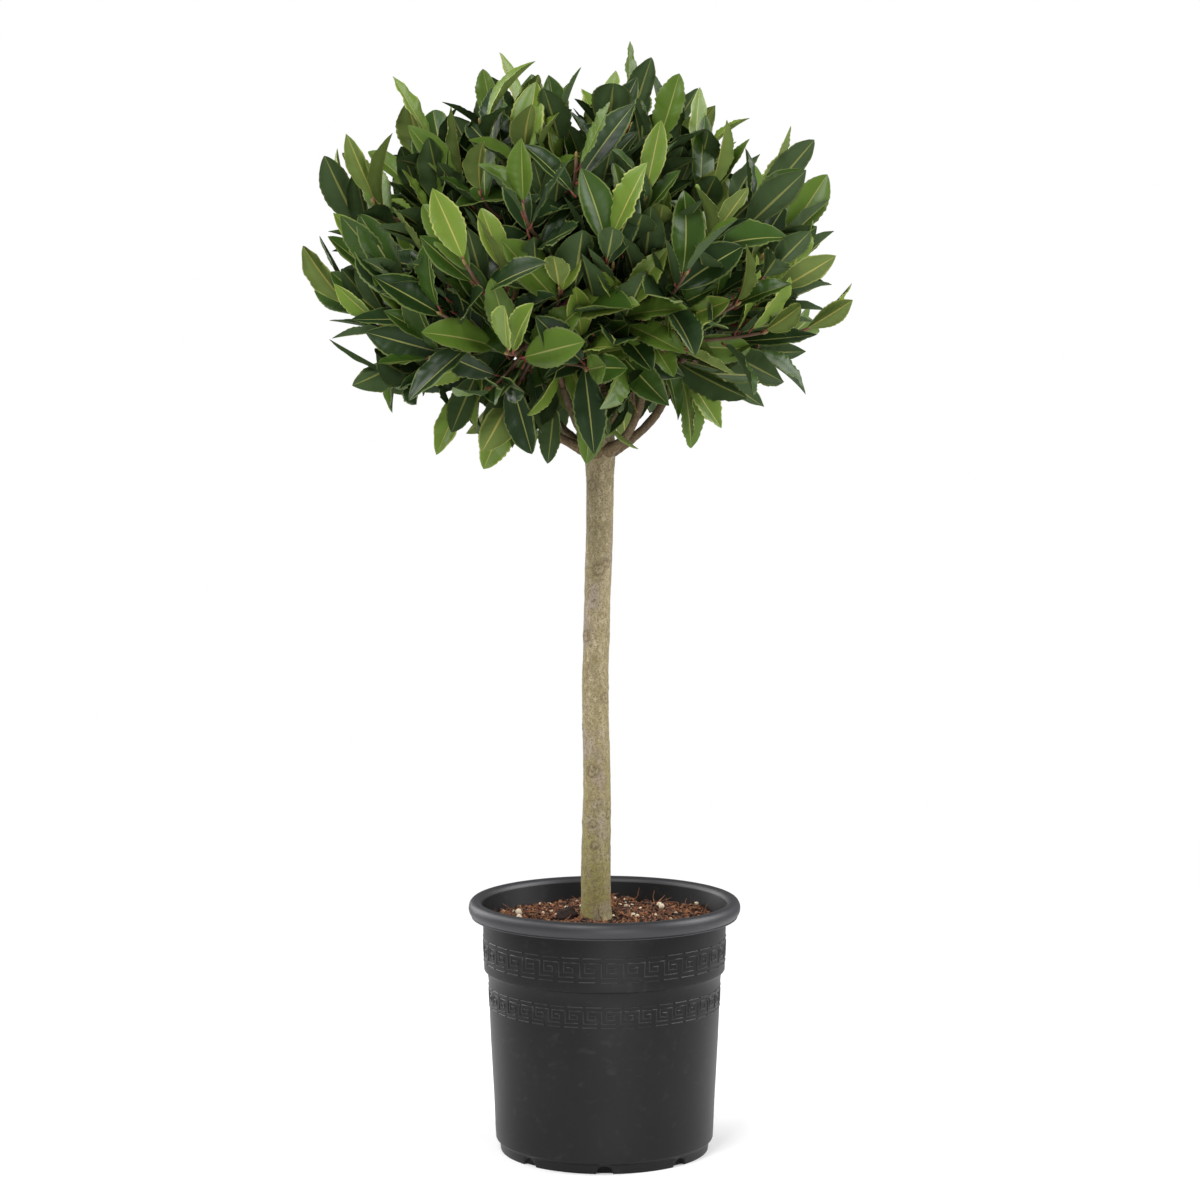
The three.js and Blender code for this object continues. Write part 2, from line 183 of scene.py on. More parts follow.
def mesh_piece(name, corners, faces, materials, slots=None, smooth=True):
    """An object from corners in millimetres and faces of four corners each."""
    mesh = bpy.data.meshes.new(name)
    faces = np.asarray(faces, np.int32)
    mesh.vertices.add(len(corners))
    mesh.vertices.foreach_set("co", (np.asarray(corners) * MM).astype(np.float32).ravel())
    mesh.loops.add(faces.size)
    mesh.loops.foreach_set("vertex_index", faces.ravel())
    mesh.polygons.add(len(faces))
    mesh.polygons.foreach_set("loop_start", np.arange(0, faces.size, 4, dtype=np.int32))
    mesh.polygons.foreach_set("loop_total", np.full(len(faces), 4, np.int32))
    mesh.polygons.foreach_set("use_smooth", np.full(len(faces), smooth))
    for material in materials:
        mesh.materials.append(material)
    if slots is not None:
        mesh.polygons.foreach_set("material_index", np.asarray(slots, np.int32))
    mesh.update(calc_edges=True)
    made = bpy.data.objects.new(name, mesh)
    scene.collection.objects.link(made)
    return made


def grid_faces(rows, columns, wrap=False):
    """Faces over a grid of corners, stored row by row. With wrap, the last column joins the first."""
    row, column = np.meshgrid(np.arange(rows - 1), np.arange(columns - (not wrap)), indexing="ij")
    after = (column + 1) % columns
    here, ahead = row * columns, (row + 1) * columns
    return np.stack([here + column, here + after, ahead + after, ahead + column], axis=-1).reshape(-1, 4)


class Batch:
    """Collects corners, faces and slots of many small shapes, to be made into one mesh."""

    def __init__(self):
        self.corners, self.faces, self.slots, self.count = [], [], [], 0

    def add(self, corners, faces, slot=0):
        self.corners.append(corners)
        self.faces.append(np.asarray(faces) + self.count)
        self.slots.append(np.broadcast_to(slot, len(faces)))
        self.count += len(corners)

    def piece(self, name, materials, smooth=True):
        corners, faces, slots = (np.concatenate(part) for part in (self.corners, self.faces, self.slots))
        return mesh_piece(name, corners, faces, materials, slots, smooth)


def seeded(seed):
    """The mulberry32 generator: the same seed gives the same plant."""
    state, whole = seed & 0xFFFFFFFF, 0xFFFFFFFF

    def chance():
        nonlocal state
        state = (state + 0x6D2B79F5) & whole
        mixed = ((state ^ (state >> 15)) * (state | 1)) & whole
        mixed ^= (mixed + (((mixed ^ (mixed >> 7)) * (mixed | 61)) & whole)) & whole
        return ((mixed ^ (mixed >> 14)) & whole) / 4294967296

    return chance


def between(ends, share):
    return ends[0] + (ends[1] - ends[0]) * share


def value_noise(points, size, seed=0):
    """Smooth noise from -1 to 1 at each point, with lumps about as wide as size."""
    place = np.asarray(points, float) / size
    cell = np.floor(place).astype(np.int64)
    part = place - cell
    fade = part * part * (3 - 2 * part)
    total = np.zeros(len(place))
    for corner in np.ndindex(2, 2, 2):
        at = cell + corner
        key = at[:, 0] * 73856093 ^ at[:, 1] * 19349663 ^ at[:, 2] * 83492791 ^ (seed + 1) * 26544357
        key = ((key ^ (key >> 13)) * 1274126177) & 0x7FFFFFFF
        weight = np.prod(np.where(corner, fade, 1 - fade), axis=1)
        total += weight * (((key ^ (key >> 16)) & 0xFFFF) / 32767.5)
    return total - 1


# %% [markdown]
# ## How the plant grows
# The stem ends in a knuckle, where the grower first pinched out the tip. Boughs leave it in three
# tiers. The head is an ellipsoid, shared out among one site per bough: each part of it belongs to the
# nearest site. These are the rule and the sizes by which the solids were grown, so the twigs made
# here land where their plain forms are.

# %% The head's sizes
HEAD_CENTRE = np.array([-28.0, 0, 918])
HEAD_REACH = np.array([287.0, 287, 219])
SITE_SHARE = 0.63  # how much of the way from the head's centre to its outline a site lies
TIERS = [
    {"name": "skirt", "count": 6, "turn": 12, "elevation": -20, "leaves": 480, "rise": 8, "radius": 5.2},
    {"name": "shoulder", "count": 5, "turn": 48, "elevation": 32, "leaves": 506, "rise": 38, "radius": 4.8},
    {"name": "crest", "count": 1, "turn": 0, "elevation": 90, "leaves": 538, "rise": 90, "radius": 7.6},
]
BOUGH_TIP_RADIUS = 3.4
SOIL_LEVEL = 240
FIT_GAP = 0.3  # between a solid and the one that carries it
CORE_DEPTH = (58, 84)  # how far inside the head's outline a mass's core ends, at the top and at the foot
CORE_ROOM = 4  # how far it ends inside the border of its own space
CORE_REACH = (12, 130, 2)  # its least and its most reach, and the step by which the fit is sought
CORE_STEM = 2  # how far short of the core its bough ends
GOLDEN_ANGLE = math.pi * (3 - math.sqrt(5))
UP = np.array([0.0, 0, 1])

STEM_LINE = np.array([
    (-9, 0, 240.3), (-9, 0, 300), (-7.8, -1.5, 385), (-9.4, -1, 480),
    (-7, 1, 570), (-4.8, 2, 650), (-5, 0, 778),
])


def stem_centre(height):
    """The stem's centre at heights above the pot's foot, on a smooth curve through STEM_LINE."""
    height = np.atleast_1d(np.asarray(height, float))
    knots = STEM_LINE[:, 2]
    slopes = np.gradient(STEM_LINE[:, :2], knots, axis=0)
    slopes[0] = 0
    span = np.clip(np.searchsorted(knots, height) - 1, 0, len(knots) - 2)
    width = (knots[span + 1] - knots[span])[:, None]
    t = (height[:, None] - knots[span][:, None]) / width
    across = (
        (2 * t**3 - 3 * t**2 + 1) * STEM_LINE[span, :2]
        + (t**3 - 2 * t**2 + t) * width * slopes[span]
        + (3 * t**2 - 2 * t**3) * STEM_LINE[span + 1, :2]
        + (t**3 - t**2) * width * slopes[span + 1]
    )
    return np.column_stack([across, height])


def direction(azimuth, elevation):
    level = math.cos(elevation)
    return np.array([level * math.cos(azimuth), level * math.sin(azimuth), math.sin(elevation)])


def outline_share(points):
    """How much of the way to the head's outline points lie: 1 is on it."""
    return np.linalg.norm((points - HEAD_CENTRE) / HEAD_REACH, axis=-1)


def head_reach(outward):
    return 1 / np.linalg.norm(outward / HEAD_REACH)


# %% [markdown]
# A bough is a curve from the knuckle to its mass, and the mass has a stem of its own that runs on from
# the bough's tip. A curve with three control points is enough for both: it leaves one way, arrives
# another way, and has no kink.


# %% Sites, boughs and spaces
def bent(start, bend, end, count=25):
    """Points along a curve with three control points, evenly spaced along its length."""
    share = np.linspace(0, 1, 65)[:, None]
    points = (1 - share) ** 2 * start + 2 * share * (1 - share) * bend + share**2 * end
    walked = np.concatenate([[0], np.cumsum(np.linalg.norm(np.diff(points, axis=0), axis=1))])
    even = np.linspace(0, walked[-1], count)
    return np.column_stack([np.interp(even, walked, points[:, axis]) for axis in range(3)])


def point_at(points, share):
    place = share * (len(points) - 1)
    low = min(int(place), len(points) - 2)
    return points[low] + (points[low + 1] - points[low]) * (place - low)


sites = []
for tier in TIERS:
    for i in range(tier["count"]):
        azimuth = math.radians(tier["turn"] + 360 * i / tier["count"])
        outward = direction(azimuth, math.radians(tier["elevation"]))
        sites.append({
            "tier": tier,
            "azimuth": azimuth,
            "name": f"{tier['name']}_{i + 1}" if tier["count"] > 1 else tier["name"],
            "place": HEAD_CENTRE + outward * head_reach(outward) * SITE_SHARE,
        })
site_places = np.array([site["place"] for site in sites])


def nearest_site(point):
    return int(np.argmin(np.linalg.norm(site_places - point, axis=1)))


def border_room(owner, points):
    """How far points lie inside the border between one site's space and its neighbours' spaces."""
    points = np.atleast_2d(points)
    far = np.sum((points[:, None] - site_places) ** 2, axis=2)
    gaps = np.linalg.norm(site_places - site_places[owner], axis=1)
    gaps[owner] = np.inf
    rooms = (far - far[:, [owner]]) / (2 * gaps)
    rooms[:, owner] = np.inf
    return rooms.min(axis=1)


def core_reach(owner, way):
    """How far a mass's core reaches from its site towards its bough."""
    least, reach, step = CORE_REACH
    while reach > least:
        place = site_places[owner] + way * reach
        outward = unit(place - HEAD_CENTRE)
        depth = head_reach(outward) - np.linalg.norm(place - HEAD_CENTRE)
        lowest = between(CORE_DEPTH, (1 - outward[2]) / 2)
        if depth > lowest and border_room(owner, place)[0] > CORE_ROOM:
            break
        reach -= step
    return reach


for owner, site in enumerate(sites):
    tier, place = site["tier"], site["place"]
    root = stem_centre(SOIL_LEVEL + FIT_GAP + tier["leaves"])[0]
    inward = unit(root - place)
    end = place + inward * (core_reach(owner, inward) + CORE_STEM)
    leave = direction(site["azimuth"], math.radians(tier["rise"]))
    bend = root + leave * np.linalg.norm(root - end) * 0.5
    site["bough"] = bent(root, bend, end)
    growth = unit(end - bend)
    foot = end + growth * FIT_GAP
    heart = place + (foot - place) * 0.15
    site["stem"] = bent(foot, foot + growth * np.linalg.norm(foot - heart) * 0.5, heart)
print("sites:", [site["name"] for site in sites])

# %% [markdown]
# ## Shoots
# Where do shoots end? On the real plant, wherever the shears and the light leave room, which is evenly
# all over the head. A golden-angle lattice gives that: each point is turned on from the last by 137.5
# degrees. The first lattice gives the strong shoots, which spring from a mass's stem. A second and
# finer one gives side shoots, which spring from the strong shoot that passes nearest.

# %% Grow the shoots
SEED = 3
STRONG_COUNT = 120
STRONG_INSET = (40, 112)  # how far short of the head's outline a strong shoot stops
STRONG_THINNING = 0.1  # how much of the thinning below also holds for the strong shoots
BARE_FOOT = -0.99  # the height on the head, from -1 to 1, under which no strong shoot grows
CROWN_FOOT = 0.4
CROWN_GAPS = 0.25  # share of the strong shoots missing from the top, so that single ones stand out
STEM_SHARE = (0.2, 0.95)  # between which places along a mass's stem they spring
SHOOT_SPRING = 0.45  # how straight a shoot arrives at its tip
STRONG_PULL, FINE_PULL = (0.72, 0.6), (0.45, 0.85)  # how hard a shoot is drawn outward, and upward
HANGERS = [  # azimuth and elevation, in degrees, of shoots that hang under the head
    (190, -30), (203, -46), (222, -60), (246, -68), (284, -72), (318, -62), (344, -46), (60, -60), (130, -58),
]
HANGER_INSET, HANGER_PULL, HANGER_LIFT, HANGER_SEED = 62, (1, 0.05), -0.75, 700
FINE_COUNT = 330
FINE_SEED = 9000
FINE_TURN = 1.1  # how far the side shoots' lattice is turned on from the first, in radians
FINE_ROOT_DEPTH = 45  # how far inward of its tip a side shoot looks for a strong shoot to spring from
FINE_INSET = (92, 176)  # how far short of the head's outline a side shoot stops
FINE_CROWDING = 1.25  # over 1 crowds the side shoots towards the outline
FINE_FOOT = (-0.76, -0.3)  # the underside thins out between these heights, so that the limbs show
THINNING = [(-0.75, 0), (-0.35, -8), (0.1, 4), (0.55, 36), (0.9, 72)]  # height, extra inset there
SWELLS = [  # azimuth from the right and elevation, in degrees, and how much further shoots grow there
    (0, 32, -56), (180, 28, 18), (180, -6, -11), (-4, -14, 32), (206, -30, 44), (-90, -70, 22),
    (-8, -58, -92), (-90, 10, 6), (75, 40, -14), (110, -10, 10), (180, 62, -40), (0, -28, 20),
    (0, 64, -2), (-90, 88, 4), (204, -66, -26), (180, -60, -16),
]
SWELL_WIDTH = 34  # degrees
LEAF_LIFT = [(-0.9, -0.6), (-0.65, -0.1), (-0.4, 0.35), (0, 0.65), (1, 0.35)]  # height, pull on leaves


def by_height(table, outward):
    """A value that depends on how high a direction points, read from a short table."""
    return float(np.interp(outward[2], *np.transpose(table)))


def swell(outward):
    """How far the head's outline stands out or in there: no clipped head is a perfect ball."""
    total = 0
    for azimuth, elevation, amount in SWELLS:
        middle = direction(math.radians(azimuth), math.radians(elevation))
        off = math.degrees(math.acos(np.clip(middle.dot(outward), -1, 1)))
        total += amount * math.exp(-((off / SWELL_WIDTH) ** 2))
    return total


def shoot_to(tip, outward, root, chance, pull, depth):
    """A shoot that turns outward and up as it grows, and less up where it hangs under the head."""
    growth = unit(outward * pull[0] + UP * pull[1] * (1 + min(0, outward[2])))
    bend = tip - growth * np.linalg.norm(root - tip) * SHOOT_SPRING
    return {
        "tip": tip, "growth": growth, "line": bent(root, bend, tip, 9), "turn": chance() * 2 * math.pi,
        "chance": chance, "lift": by_height(LEAF_LIFT, outward), "depth": depth,
        "light": unit(outward + UP * 0.5),
    }


for site in sites:
    site["strong"], site["fine"] = [], []

for k in range(STRONG_COUNT):
    height = 1 - (2 * k + 1) / STRONG_COUNT
    outward = direction(k * GOLDEN_ANGLE, math.asin(height))
    chance = seeded(SEED + k)
    inset = between(STRONG_INSET, chance()) + by_height(THINNING, outward) * STRONG_THINNING - swell(outward)
    tip = HEAD_CENTRE + outward * (head_reach(outward) - inset)
    if height < BARE_FOOT:
        continue
    site = sites[nearest_site(tip)]
    root = point_at(site["stem"], between(STEM_SHARE, chance()))
    if height > CROWN_FOOT and chance() < CROWN_GAPS:
        continue
    site["strong"].append(shoot_to(tip, outward, root, chance, STRONG_PULL, 0.0))

for number, (azimuth, elevation) in enumerate(HANGERS):
    outward = direction(math.radians(azimuth), math.radians(elevation))
    tip = HEAD_CENTRE + outward * (head_reach(outward) - HANGER_INSET)
    site = sites[nearest_site(tip)]
    root = point_at(site["stem"], STEM_SHARE[0])
    shoot = shoot_to(tip, outward, root, seeded(HANGER_SEED + number), HANGER_PULL, 0.0)
    site["strong"].append({**shoot, "lift": HANGER_LIFT})

for k in range(FINE_COUNT):
    height = 1 - (2 * k + 1) / FINE_COUNT
    outward = direction(k * GOLDEN_ANGLE + FINE_TURN, math.asin(height))
    chance = seeded(FINE_SEED + k)
    depth = chance() ** FINE_CROWDING
    inset = between(FINE_INSET, depth) + by_height(THINNING, outward) - swell(outward)
    tip = HEAD_CENTRE + outward * (head_reach(outward) - inset)
    if height < between(FINE_FOOT, chance()):
        continue
    site = sites[nearest_site(tip)]
    lines = np.array([strong["line"][3:8] for strong in site["strong"]])
    away = np.linalg.norm(lines - (tip - outward * FINE_ROOT_DEPTH), axis=2)
    nearest = np.unravel_index(np.argmin(away), away.shape)
    site["fine"].append(shoot_to(tip, outward, lines[nearest], chance, FINE_PULL, depth))

for kind in ("strong", "fine"):
    print(kind, "shoots:", sum(len(site[kind]) for site in sites))

# %% [markdown]
# ## Where each leaf stands
# Bay leaves are set singly round the shoot, each turned on by the golden angle, and crowd towards its
# tip. The youngest stand nearly along the shoot, and the older ones lean out. A leaf that would cross
# a limb or leave the head is offered the next place round the shoot, and left out if none is free.
# Young leaves are a bright yellow green, and last year's a deep blue green, so a leaf's age decides
# its tint, and age goes by shoot and by rank along it. A shoot that ends deep in the head counts as
# older too, so its leaves take darker tints: painted shade in the depth of the head.

# %% Place the leaves
LEAF_TRIES = 7
LEAF_COUNT, LEAF_COUNT_SPREAD = 4, 2.6  # on a shoot: at least this many, and up to so many more
LEAF_YOUTH = (0.74, 0.9, 1)  # how much of its full length a leaf has at the tip, next to it, and further back
LEAF_LENGTH = (57, 88)
LEAF_SLIMNESS = (0.35, 0.52)  # width over length
LEAF_SPACING = (9, 16)
LEAF_TILT = (12, 14, 16)  # degrees: of the youngest leaf from the shoot, more for each older one, and chance
PETIOLE = (7, 11)
BORDER_OVERLAP = 16  # how far a leaf may lean over into the next mass's space
LIGHT_PULL = (0.25, 0.62)  # how far a stalk twists to turn its leaf's upper face outward
OVERREACH = 1.05  # how far past the head's outline a strong shoot's leaf may end
ELBOW_ROOM = 9  # between the middles of two leaves
SPINE = np.array([[0.3], [0.55], [0.8]])  # places along a leaf between which that room is measured
TRUNK_TOP_RADIUS = 16.0

limb_points, limb_radii = [], []
for site in sites:
    limb_points.append(site["bough"])
    limb_radii.append(np.linspace(site["tier"]["radius"], BOUGH_TIP_RADIUS, len(site["bough"])))
trunk_heights = np.arange(600, 779, 8)
limb_points.append(stem_centre(trunk_heights))
limb_radii.append(np.full(len(trunk_heights), TRUNK_TOP_RADIUS))
limb_points, limb_radii = np.concatenate(limb_points), np.concatenate(limb_radii)


def clear_of_limbs(root, tip, girth):
    """Whether a leaf of this half width misses the trunk and every bough."""
    share = np.linspace(0, 1, 7)
    points = root + (tip - root) * share[:, None]
    away = np.linalg.norm(points[:, None] - limb_points, axis=2) - limb_radii
    width = girth * np.sin(math.pi * np.clip(share, 0.05, 0.95))
    return bool(np.all(away.min(axis=1) > width + 1))


taken = np.empty((0, 3))  # three points along each leaf that has been placed


def leaves_of(owner, shoot):
    """The leaves round one shoot, each with frame, size, and age from 0, young, to 1, old, plus painted shade
    when deep.
    """
    global taken
    limit = OVERREACH if shoot["depth"] == 0 else 1
    chance, growth = shoot["chance"], shoot["growth"]
    side = unit(np.cross([1.0, 0, 0], growth))
    across = np.cross(growth, side)
    count = LEAF_COUNT + int(chance() * LEAF_COUNT_SPREAD)
    spacing = between(LEAF_SPACING, chance())
    # A shoot deep in the head counts as older, so its leaves take darker tints: painted shade.
    shoot_age_and_shade = 0.04 + chance() * 0.6 + 0.4 * shoot["depth"]
    found = []
    for rank in range(count):
        tilt = math.radians(LEAF_TILT[0] + LEAF_TILT[1] * rank + LEAF_TILT[2] * chance())
        youth = LEAF_YOUTH[min(rank, 2)]
        length = between(LEAF_LENGTH, chance()) * between((youth, 1), min(1, shoot_age_and_shade + 0.25))
        width = length * between(LEAF_SLIMNESS, chance())
        stalk = between(PETIOLE, chance())
        age = shoot_age_and_shade + 0.14 * rank + 0.24 * (chance() - 0.5)
        node = shoot["tip"] - growth * spacing * rank
        facing = between(LIGHT_PULL, chance())
        for attempt in range(LEAF_TRIES):
            turn = shoot["turn"] + rank * GOLDEN_ANGLE + 2 * math.pi * attempt / LEAF_TRIES
            radial = side * math.cos(turn) + across * math.sin(turn)
            along = unit(growth * math.cos(tilt) + radial * math.sin(tilt) + UP * shoot["lift"])
            face = growth * math.sin(tilt) - radial * math.cos(tilt)
            face = face * (1 - facing) + shoot["light"] * facing
            face = unit(face - along * along.dot(face))
            root, tip = node + along * stalk, node + along * (stalk + length)
            spine = root + (tip - root) * SPINE
            astray = border_room(owner, np.array([root, tip])).min() < -BORDER_OVERLAP
            if astray or outline_share(tip) > limit:
                continue
            if len(taken) and np.min(np.linalg.norm(taken[:, None] - spine, axis=2)) < ELBOW_ROOM:
                continue
            if clear_of_limbs(node, tip, width / 2):
                taken = np.vstack([taken, spine])
                found.append({
                    "node": node, "root": root, "along": along, "face": face, "length": length,
                    "width": width, "age": age, "chance": [chance() for _ in range(6)],
                })
                break
    return found


leaf_total = 0
for owner, site in enumerate(sites):
    site["leaves"] = []
    for shoot in site["strong"] + site["fine"]:
        site["leaves"] += leaves_of(owner, shoot)
    leaf_total += len(site["leaves"])
print("leaves:", leaf_total)

# %% [markdown]
# ## The finish of the leaves
# A bay leaf is leathery: satin above and paler and duller beneath, with a yellow-green rib and a thin
# pale margin. Each of these is a plain colour on its own faces. A picture painted across thousands of
# small leaves would blur, but a colour per face stays sharp however far the model travels.

# %% Leaf finishes
BLADE_TINTS = [
    ("leaf_spring", (0.164, 0.244, 0.036)),
    ("leaf_fresh", (0.140, 0.220, 0.032)),
    ("leaf_summer", (0.088, 0.152, 0.020)),
    ("leaf_green", (0.035, 0.075, 0.010)),
    ("leaf_deep", (0.016, 0.038, 0.008)),
    ("leaf_blue", (0.019, 0.040, 0.0120)),
]
UNDER_TINTS = [
    ("under_young", (0.150, 0.205, 0.048)),
    ("under_old", (0.056, 0.094, 0.032)),
]
RIB_TINTS = [
    ("rib_young", (0.400, 0.370, 0.095)),
    ("rib_old", (0.250, 0.265, 0.075)),
]
MARGIN_TINTS = [
    ("margin_young", (0.330, 0.370, 0.095)),
    ("margin_old", (0.118, 0.155, 0.038)),
]
YOUNG_AGES = (0.24, 0.40, 0.56, 0.72)  # ages at which a leaf takes the next tint

LEAF_FINISHES = [  # tints, roughness and gloss
    (BLADE_TINTS, 0.34, 0.21), (UNDER_TINTS, 0.62, 0.2), (RIB_TINTS + MARGIN_TINTS, 0.5, 0.25),
]

leaf_materials = [
    principled(name, tint, roughness, specular_ior_level=gloss)
    for tints, roughness, gloss in LEAF_FINISHES
    for name, tint in tints
]
UNDER_SLOT = len(BLADE_TINTS)
RIB_SLOT = UNDER_SLOT + 2
MARGIN_SLOT = RIB_SLOT + 2

# %% [markdown]
# ## The shape of a leaf
# The blade is widest near its middle and tapers to a point. It folds up a little along its rib,
# curves back towards its tip, and its margin is crimped. The corners of all the leaves of a mass are
# found at once, as one array with a row of corners across each leaf and two dozen such rows along it.
# The crimping goes out and in from row to row, so two rows make a whole wave. Every third row puffs up
# halfway out to the margin, as a blade does between its side veins. The upper face and the underside
# are separate layers that meet at the margin, so the leaf has a body.

# %% Leaf blades
BLADE_ROWS = np.linspace(0, 1, 24)
VEIN_SLANT = 0.11  # how far the rows of corners run forward from rib to margin, as side veins do
UPPER_COLUMNS = np.array([-1, -0.9, -0.45, -0.045, 0.045, 0.45, 0.9, 1])
UNDER_COLUMNS = np.array([1, 0.9, 0.45, 0.07, -0.07, -0.45, -0.9, -1])
PUFF = (0.3, 0.7)  # how far the blade puffs up between its side veins
BLADE_THICKNESS = 0.45
RIB_DEPTH = 0.5
CRIMP = (0.03, 0.06)  # how far the margin goes in and out, as a share of the half width
FRILL = (0.2, 0.9)  # how far it goes up and down
EDGE_TURN = 0.9  # how sharply the margin turns down
TAPER = (0.66, 1.0)  # over 1 hollows the blade towards its ends, and less fills it out
ARCH = (-0.25, 0.7)  # how far the blade bends back along its length, in radians
FOLD = (0.2, 0.6)  # how steeply its halves rise from the rib
RIPPLE, RIPPLES = (0.3, 1.6), 3.1  # how high the halves wave, and how many waves there are
TIP_LEAN = 5  # how far the tip leans to one side
TIP_TWIST = 0.5  # how far it turns over, in radians


def blade_width(share, fullness):
    """Half the width of the blade as a share of its widest, along the leaf from its root to its tip."""
    swell = np.sin(math.pi * np.clip(share, 0, 1) ** 0.93)
    return 0.05 * (1 - share) + 0.94 * np.clip(swell, 0, 1) ** fullness + 0.014


def blade_layer(leaves, columns, under):
    """Corners of one layer of every leaf: an array of leaves by rows by columns by three."""
    get = lambda key: np.array([leaf[key] for leaf in leaves])
    length, width = get("length")[:, None, None], get("width")[:, None, None]
    luck = get("chance")
    fold, curl, wave, phase, twist, lean = (luck[:, i][:, None, None] for i in range(6))
    share = BLADE_ROWS[None, :, None]
    aside = columns[None, None, :]
    rows = np.arange(len(BLADE_ROWS))[None, :, None]
    uneven = 0.7 + 0.45 * np.sin(rows * 1.9 + phase * 19 + 2 * np.sign(aside))
    zigzag = np.where(rows % 2, 1, -1) * np.sin(math.pi * share) * uneven
    crimp = 1 + between(CRIMP, wave) * zigzag * np.sign(aside + 0.01)
    half = width / 2 * blade_width(share, between(TAPER, phase)) * crimp
    bend = between(ARCH, curl)
    along = length * np.sin(bend * share) / bend
    drop = length * (1 - np.cos(bend * share)) / bend
    along = along + length * VEIN_SLANT * (np.abs(aside) - 0.5) * np.sin(math.pi * share)
    y = aside * half + (lean - 0.5) * TIP_LEAN * share**2
    rise = (np.minimum(np.abs(aside), 0.9) - EDGE_TURN * np.clip(np.abs(aside) - 0.9, 0, 1)) * half
    rise = rise * between(FOLD, fold) + between(FRILL, wave) * zigzag * aside**6
    puffed = np.cos(2 * math.pi * rows / 3) * np.sin(math.pi * share)
    rise = rise + between(PUFF, phase) * puffed * (np.abs(np.abs(aside) - 0.45) < 0.1)
    ripple = between(RIPPLE, wave) * np.abs(aside) ** 2 * np.sin(math.pi * share)
    z = rise - drop + ripple * np.sin(2 * math.pi * (RIPPLES * share + phase) + 1.6 * np.sign(aside))
    roll = (twist - 0.5) * TIP_TWIST * share
    y, z = y * np.cos(roll) - z * np.sin(roll) * 0.3, z + y * np.sin(roll)
    z = z - (RIB_DEPTH * (np.abs(aside) < 0.1) * (1 - share) + BLADE_THICKNESS * (1 - aside**2)) * under
    frame_along, face = get("along"), get("face")
    frame_across = np.cross(face, frame_along)
    local = np.broadcast_arrays(along, y, z)
    return (
        get("root")[:, None, None, :]
        + local[0][..., None] * frame_along[:, None, None, :]
        + local[1][..., None] * frame_across[:, None, None, :]
        + local[2][..., None] * face[:, None, None, :]
    )


def blades(name, leaves):
    """All the blades of a mass as one piece, with a slot for each tint."""
    age = np.array([leaf["age"] for leaf in leaves])
    tint = np.searchsorted(YOUNG_AGES, age)
    blue = np.array([leaf["chance"][2] for leaf in leaves]) > 0.45
    tint = np.where((tint == 4) & blue, 5, tint)
    old = (age > YOUNG_AGES[1]).astype(int)
    corners, faces, slots, start = [], [], [], 0
    for columns, under in ((UPPER_COLUMNS, 0), (UNDER_COLUMNS, 1)):
        layer = blade_layer(leaves, columns, under)
        one = np.roll(grid_faces(len(BLADE_ROWS), len(columns))[:, ::-1], -under, axis=1)
        size = len(BLADE_ROWS) * len(columns)
        every = one[None] + (start + size * np.arange(len(leaves)))[:, None, None]
        strip = np.tile(np.arange(len(columns) - 1), len(BLADE_ROWS) - 1)
        slot = (UNDER_SLOT + old if under else tint)[:, None]
        slot = np.where((strip == 0) | (strip == len(columns) - 2), MARGIN_SLOT + old[:, None], slot)
        slot = np.where(strip == len(columns) // 2 - 1, RIB_SLOT + old[:, None], slot)
        corners.append(layer.reshape(-1, 3))
        faces.append(every.reshape(-1, 4))
        slots.append(slot.reshape(-1))
        start += size * len(leaves)
    corners, faces, slots = (np.concatenate(part) for part in (corners, faces, slots))
    return mesh_piece(name, corners, faces, leaf_materials, slots)


# %% [markdown]
# ## Twigs, stalks and buds
# Everything round and thin is a tube swept along a line of points. The tube carries its own side and
# top along the line, turned as little as possible from one point to the next, so it never twists.


# %% Swept tubes
def swept(line, radii, sides):
    """Corners and faces of a tube along a line, with its ends drawn in to close it."""
    line, radii = np.asarray(line, float), np.asarray(radii, float)
    ahead = np.gradient(line, axis=0)
    ahead /= np.linalg.norm(ahead, axis=1)[:, None]
    side = unit(np.cross(ahead[0], [0.31, 0.17, 0.93] if abs(ahead[0][2]) < 0.8 else [0.93, 0.31, 0.17]))
    turn = np.arange(sides) * 2 * math.pi / sides
    rings = []
    for i, way in enumerate(ahead):
        side = unit(side - way * side.dot(way))
        top = np.cross(way, side)
        ring = np.cos(turn)[:, None] * side + np.sin(turn)[:, None] * top
        rings.append(line[i] + ring * radii[i])
    rings.insert(0, line[0] + (rings[0] - line[0]) * 0.02)
    rings.append(line[-1] + (rings[-1] - line[-1]) * 0.02)
    return np.concatenate(rings), grid_faces(len(rings), sides, wrap=True)


TWIG_SLOTS = {"old": 0, "young": 1, "stalk": 2, "bud": 3}
twig_materials = [
    principled("twig_old", (0.120, 0.062, 0.034), 0.7),
    principled("twig_young", (0.170, 0.036, 0.026), 0.5),
    principled("leaf_stalk", (0.205, 0.046, 0.029), 0.5),
    principled("bud_scale", (0.230, 0.160, 0.050), 0.55),
]


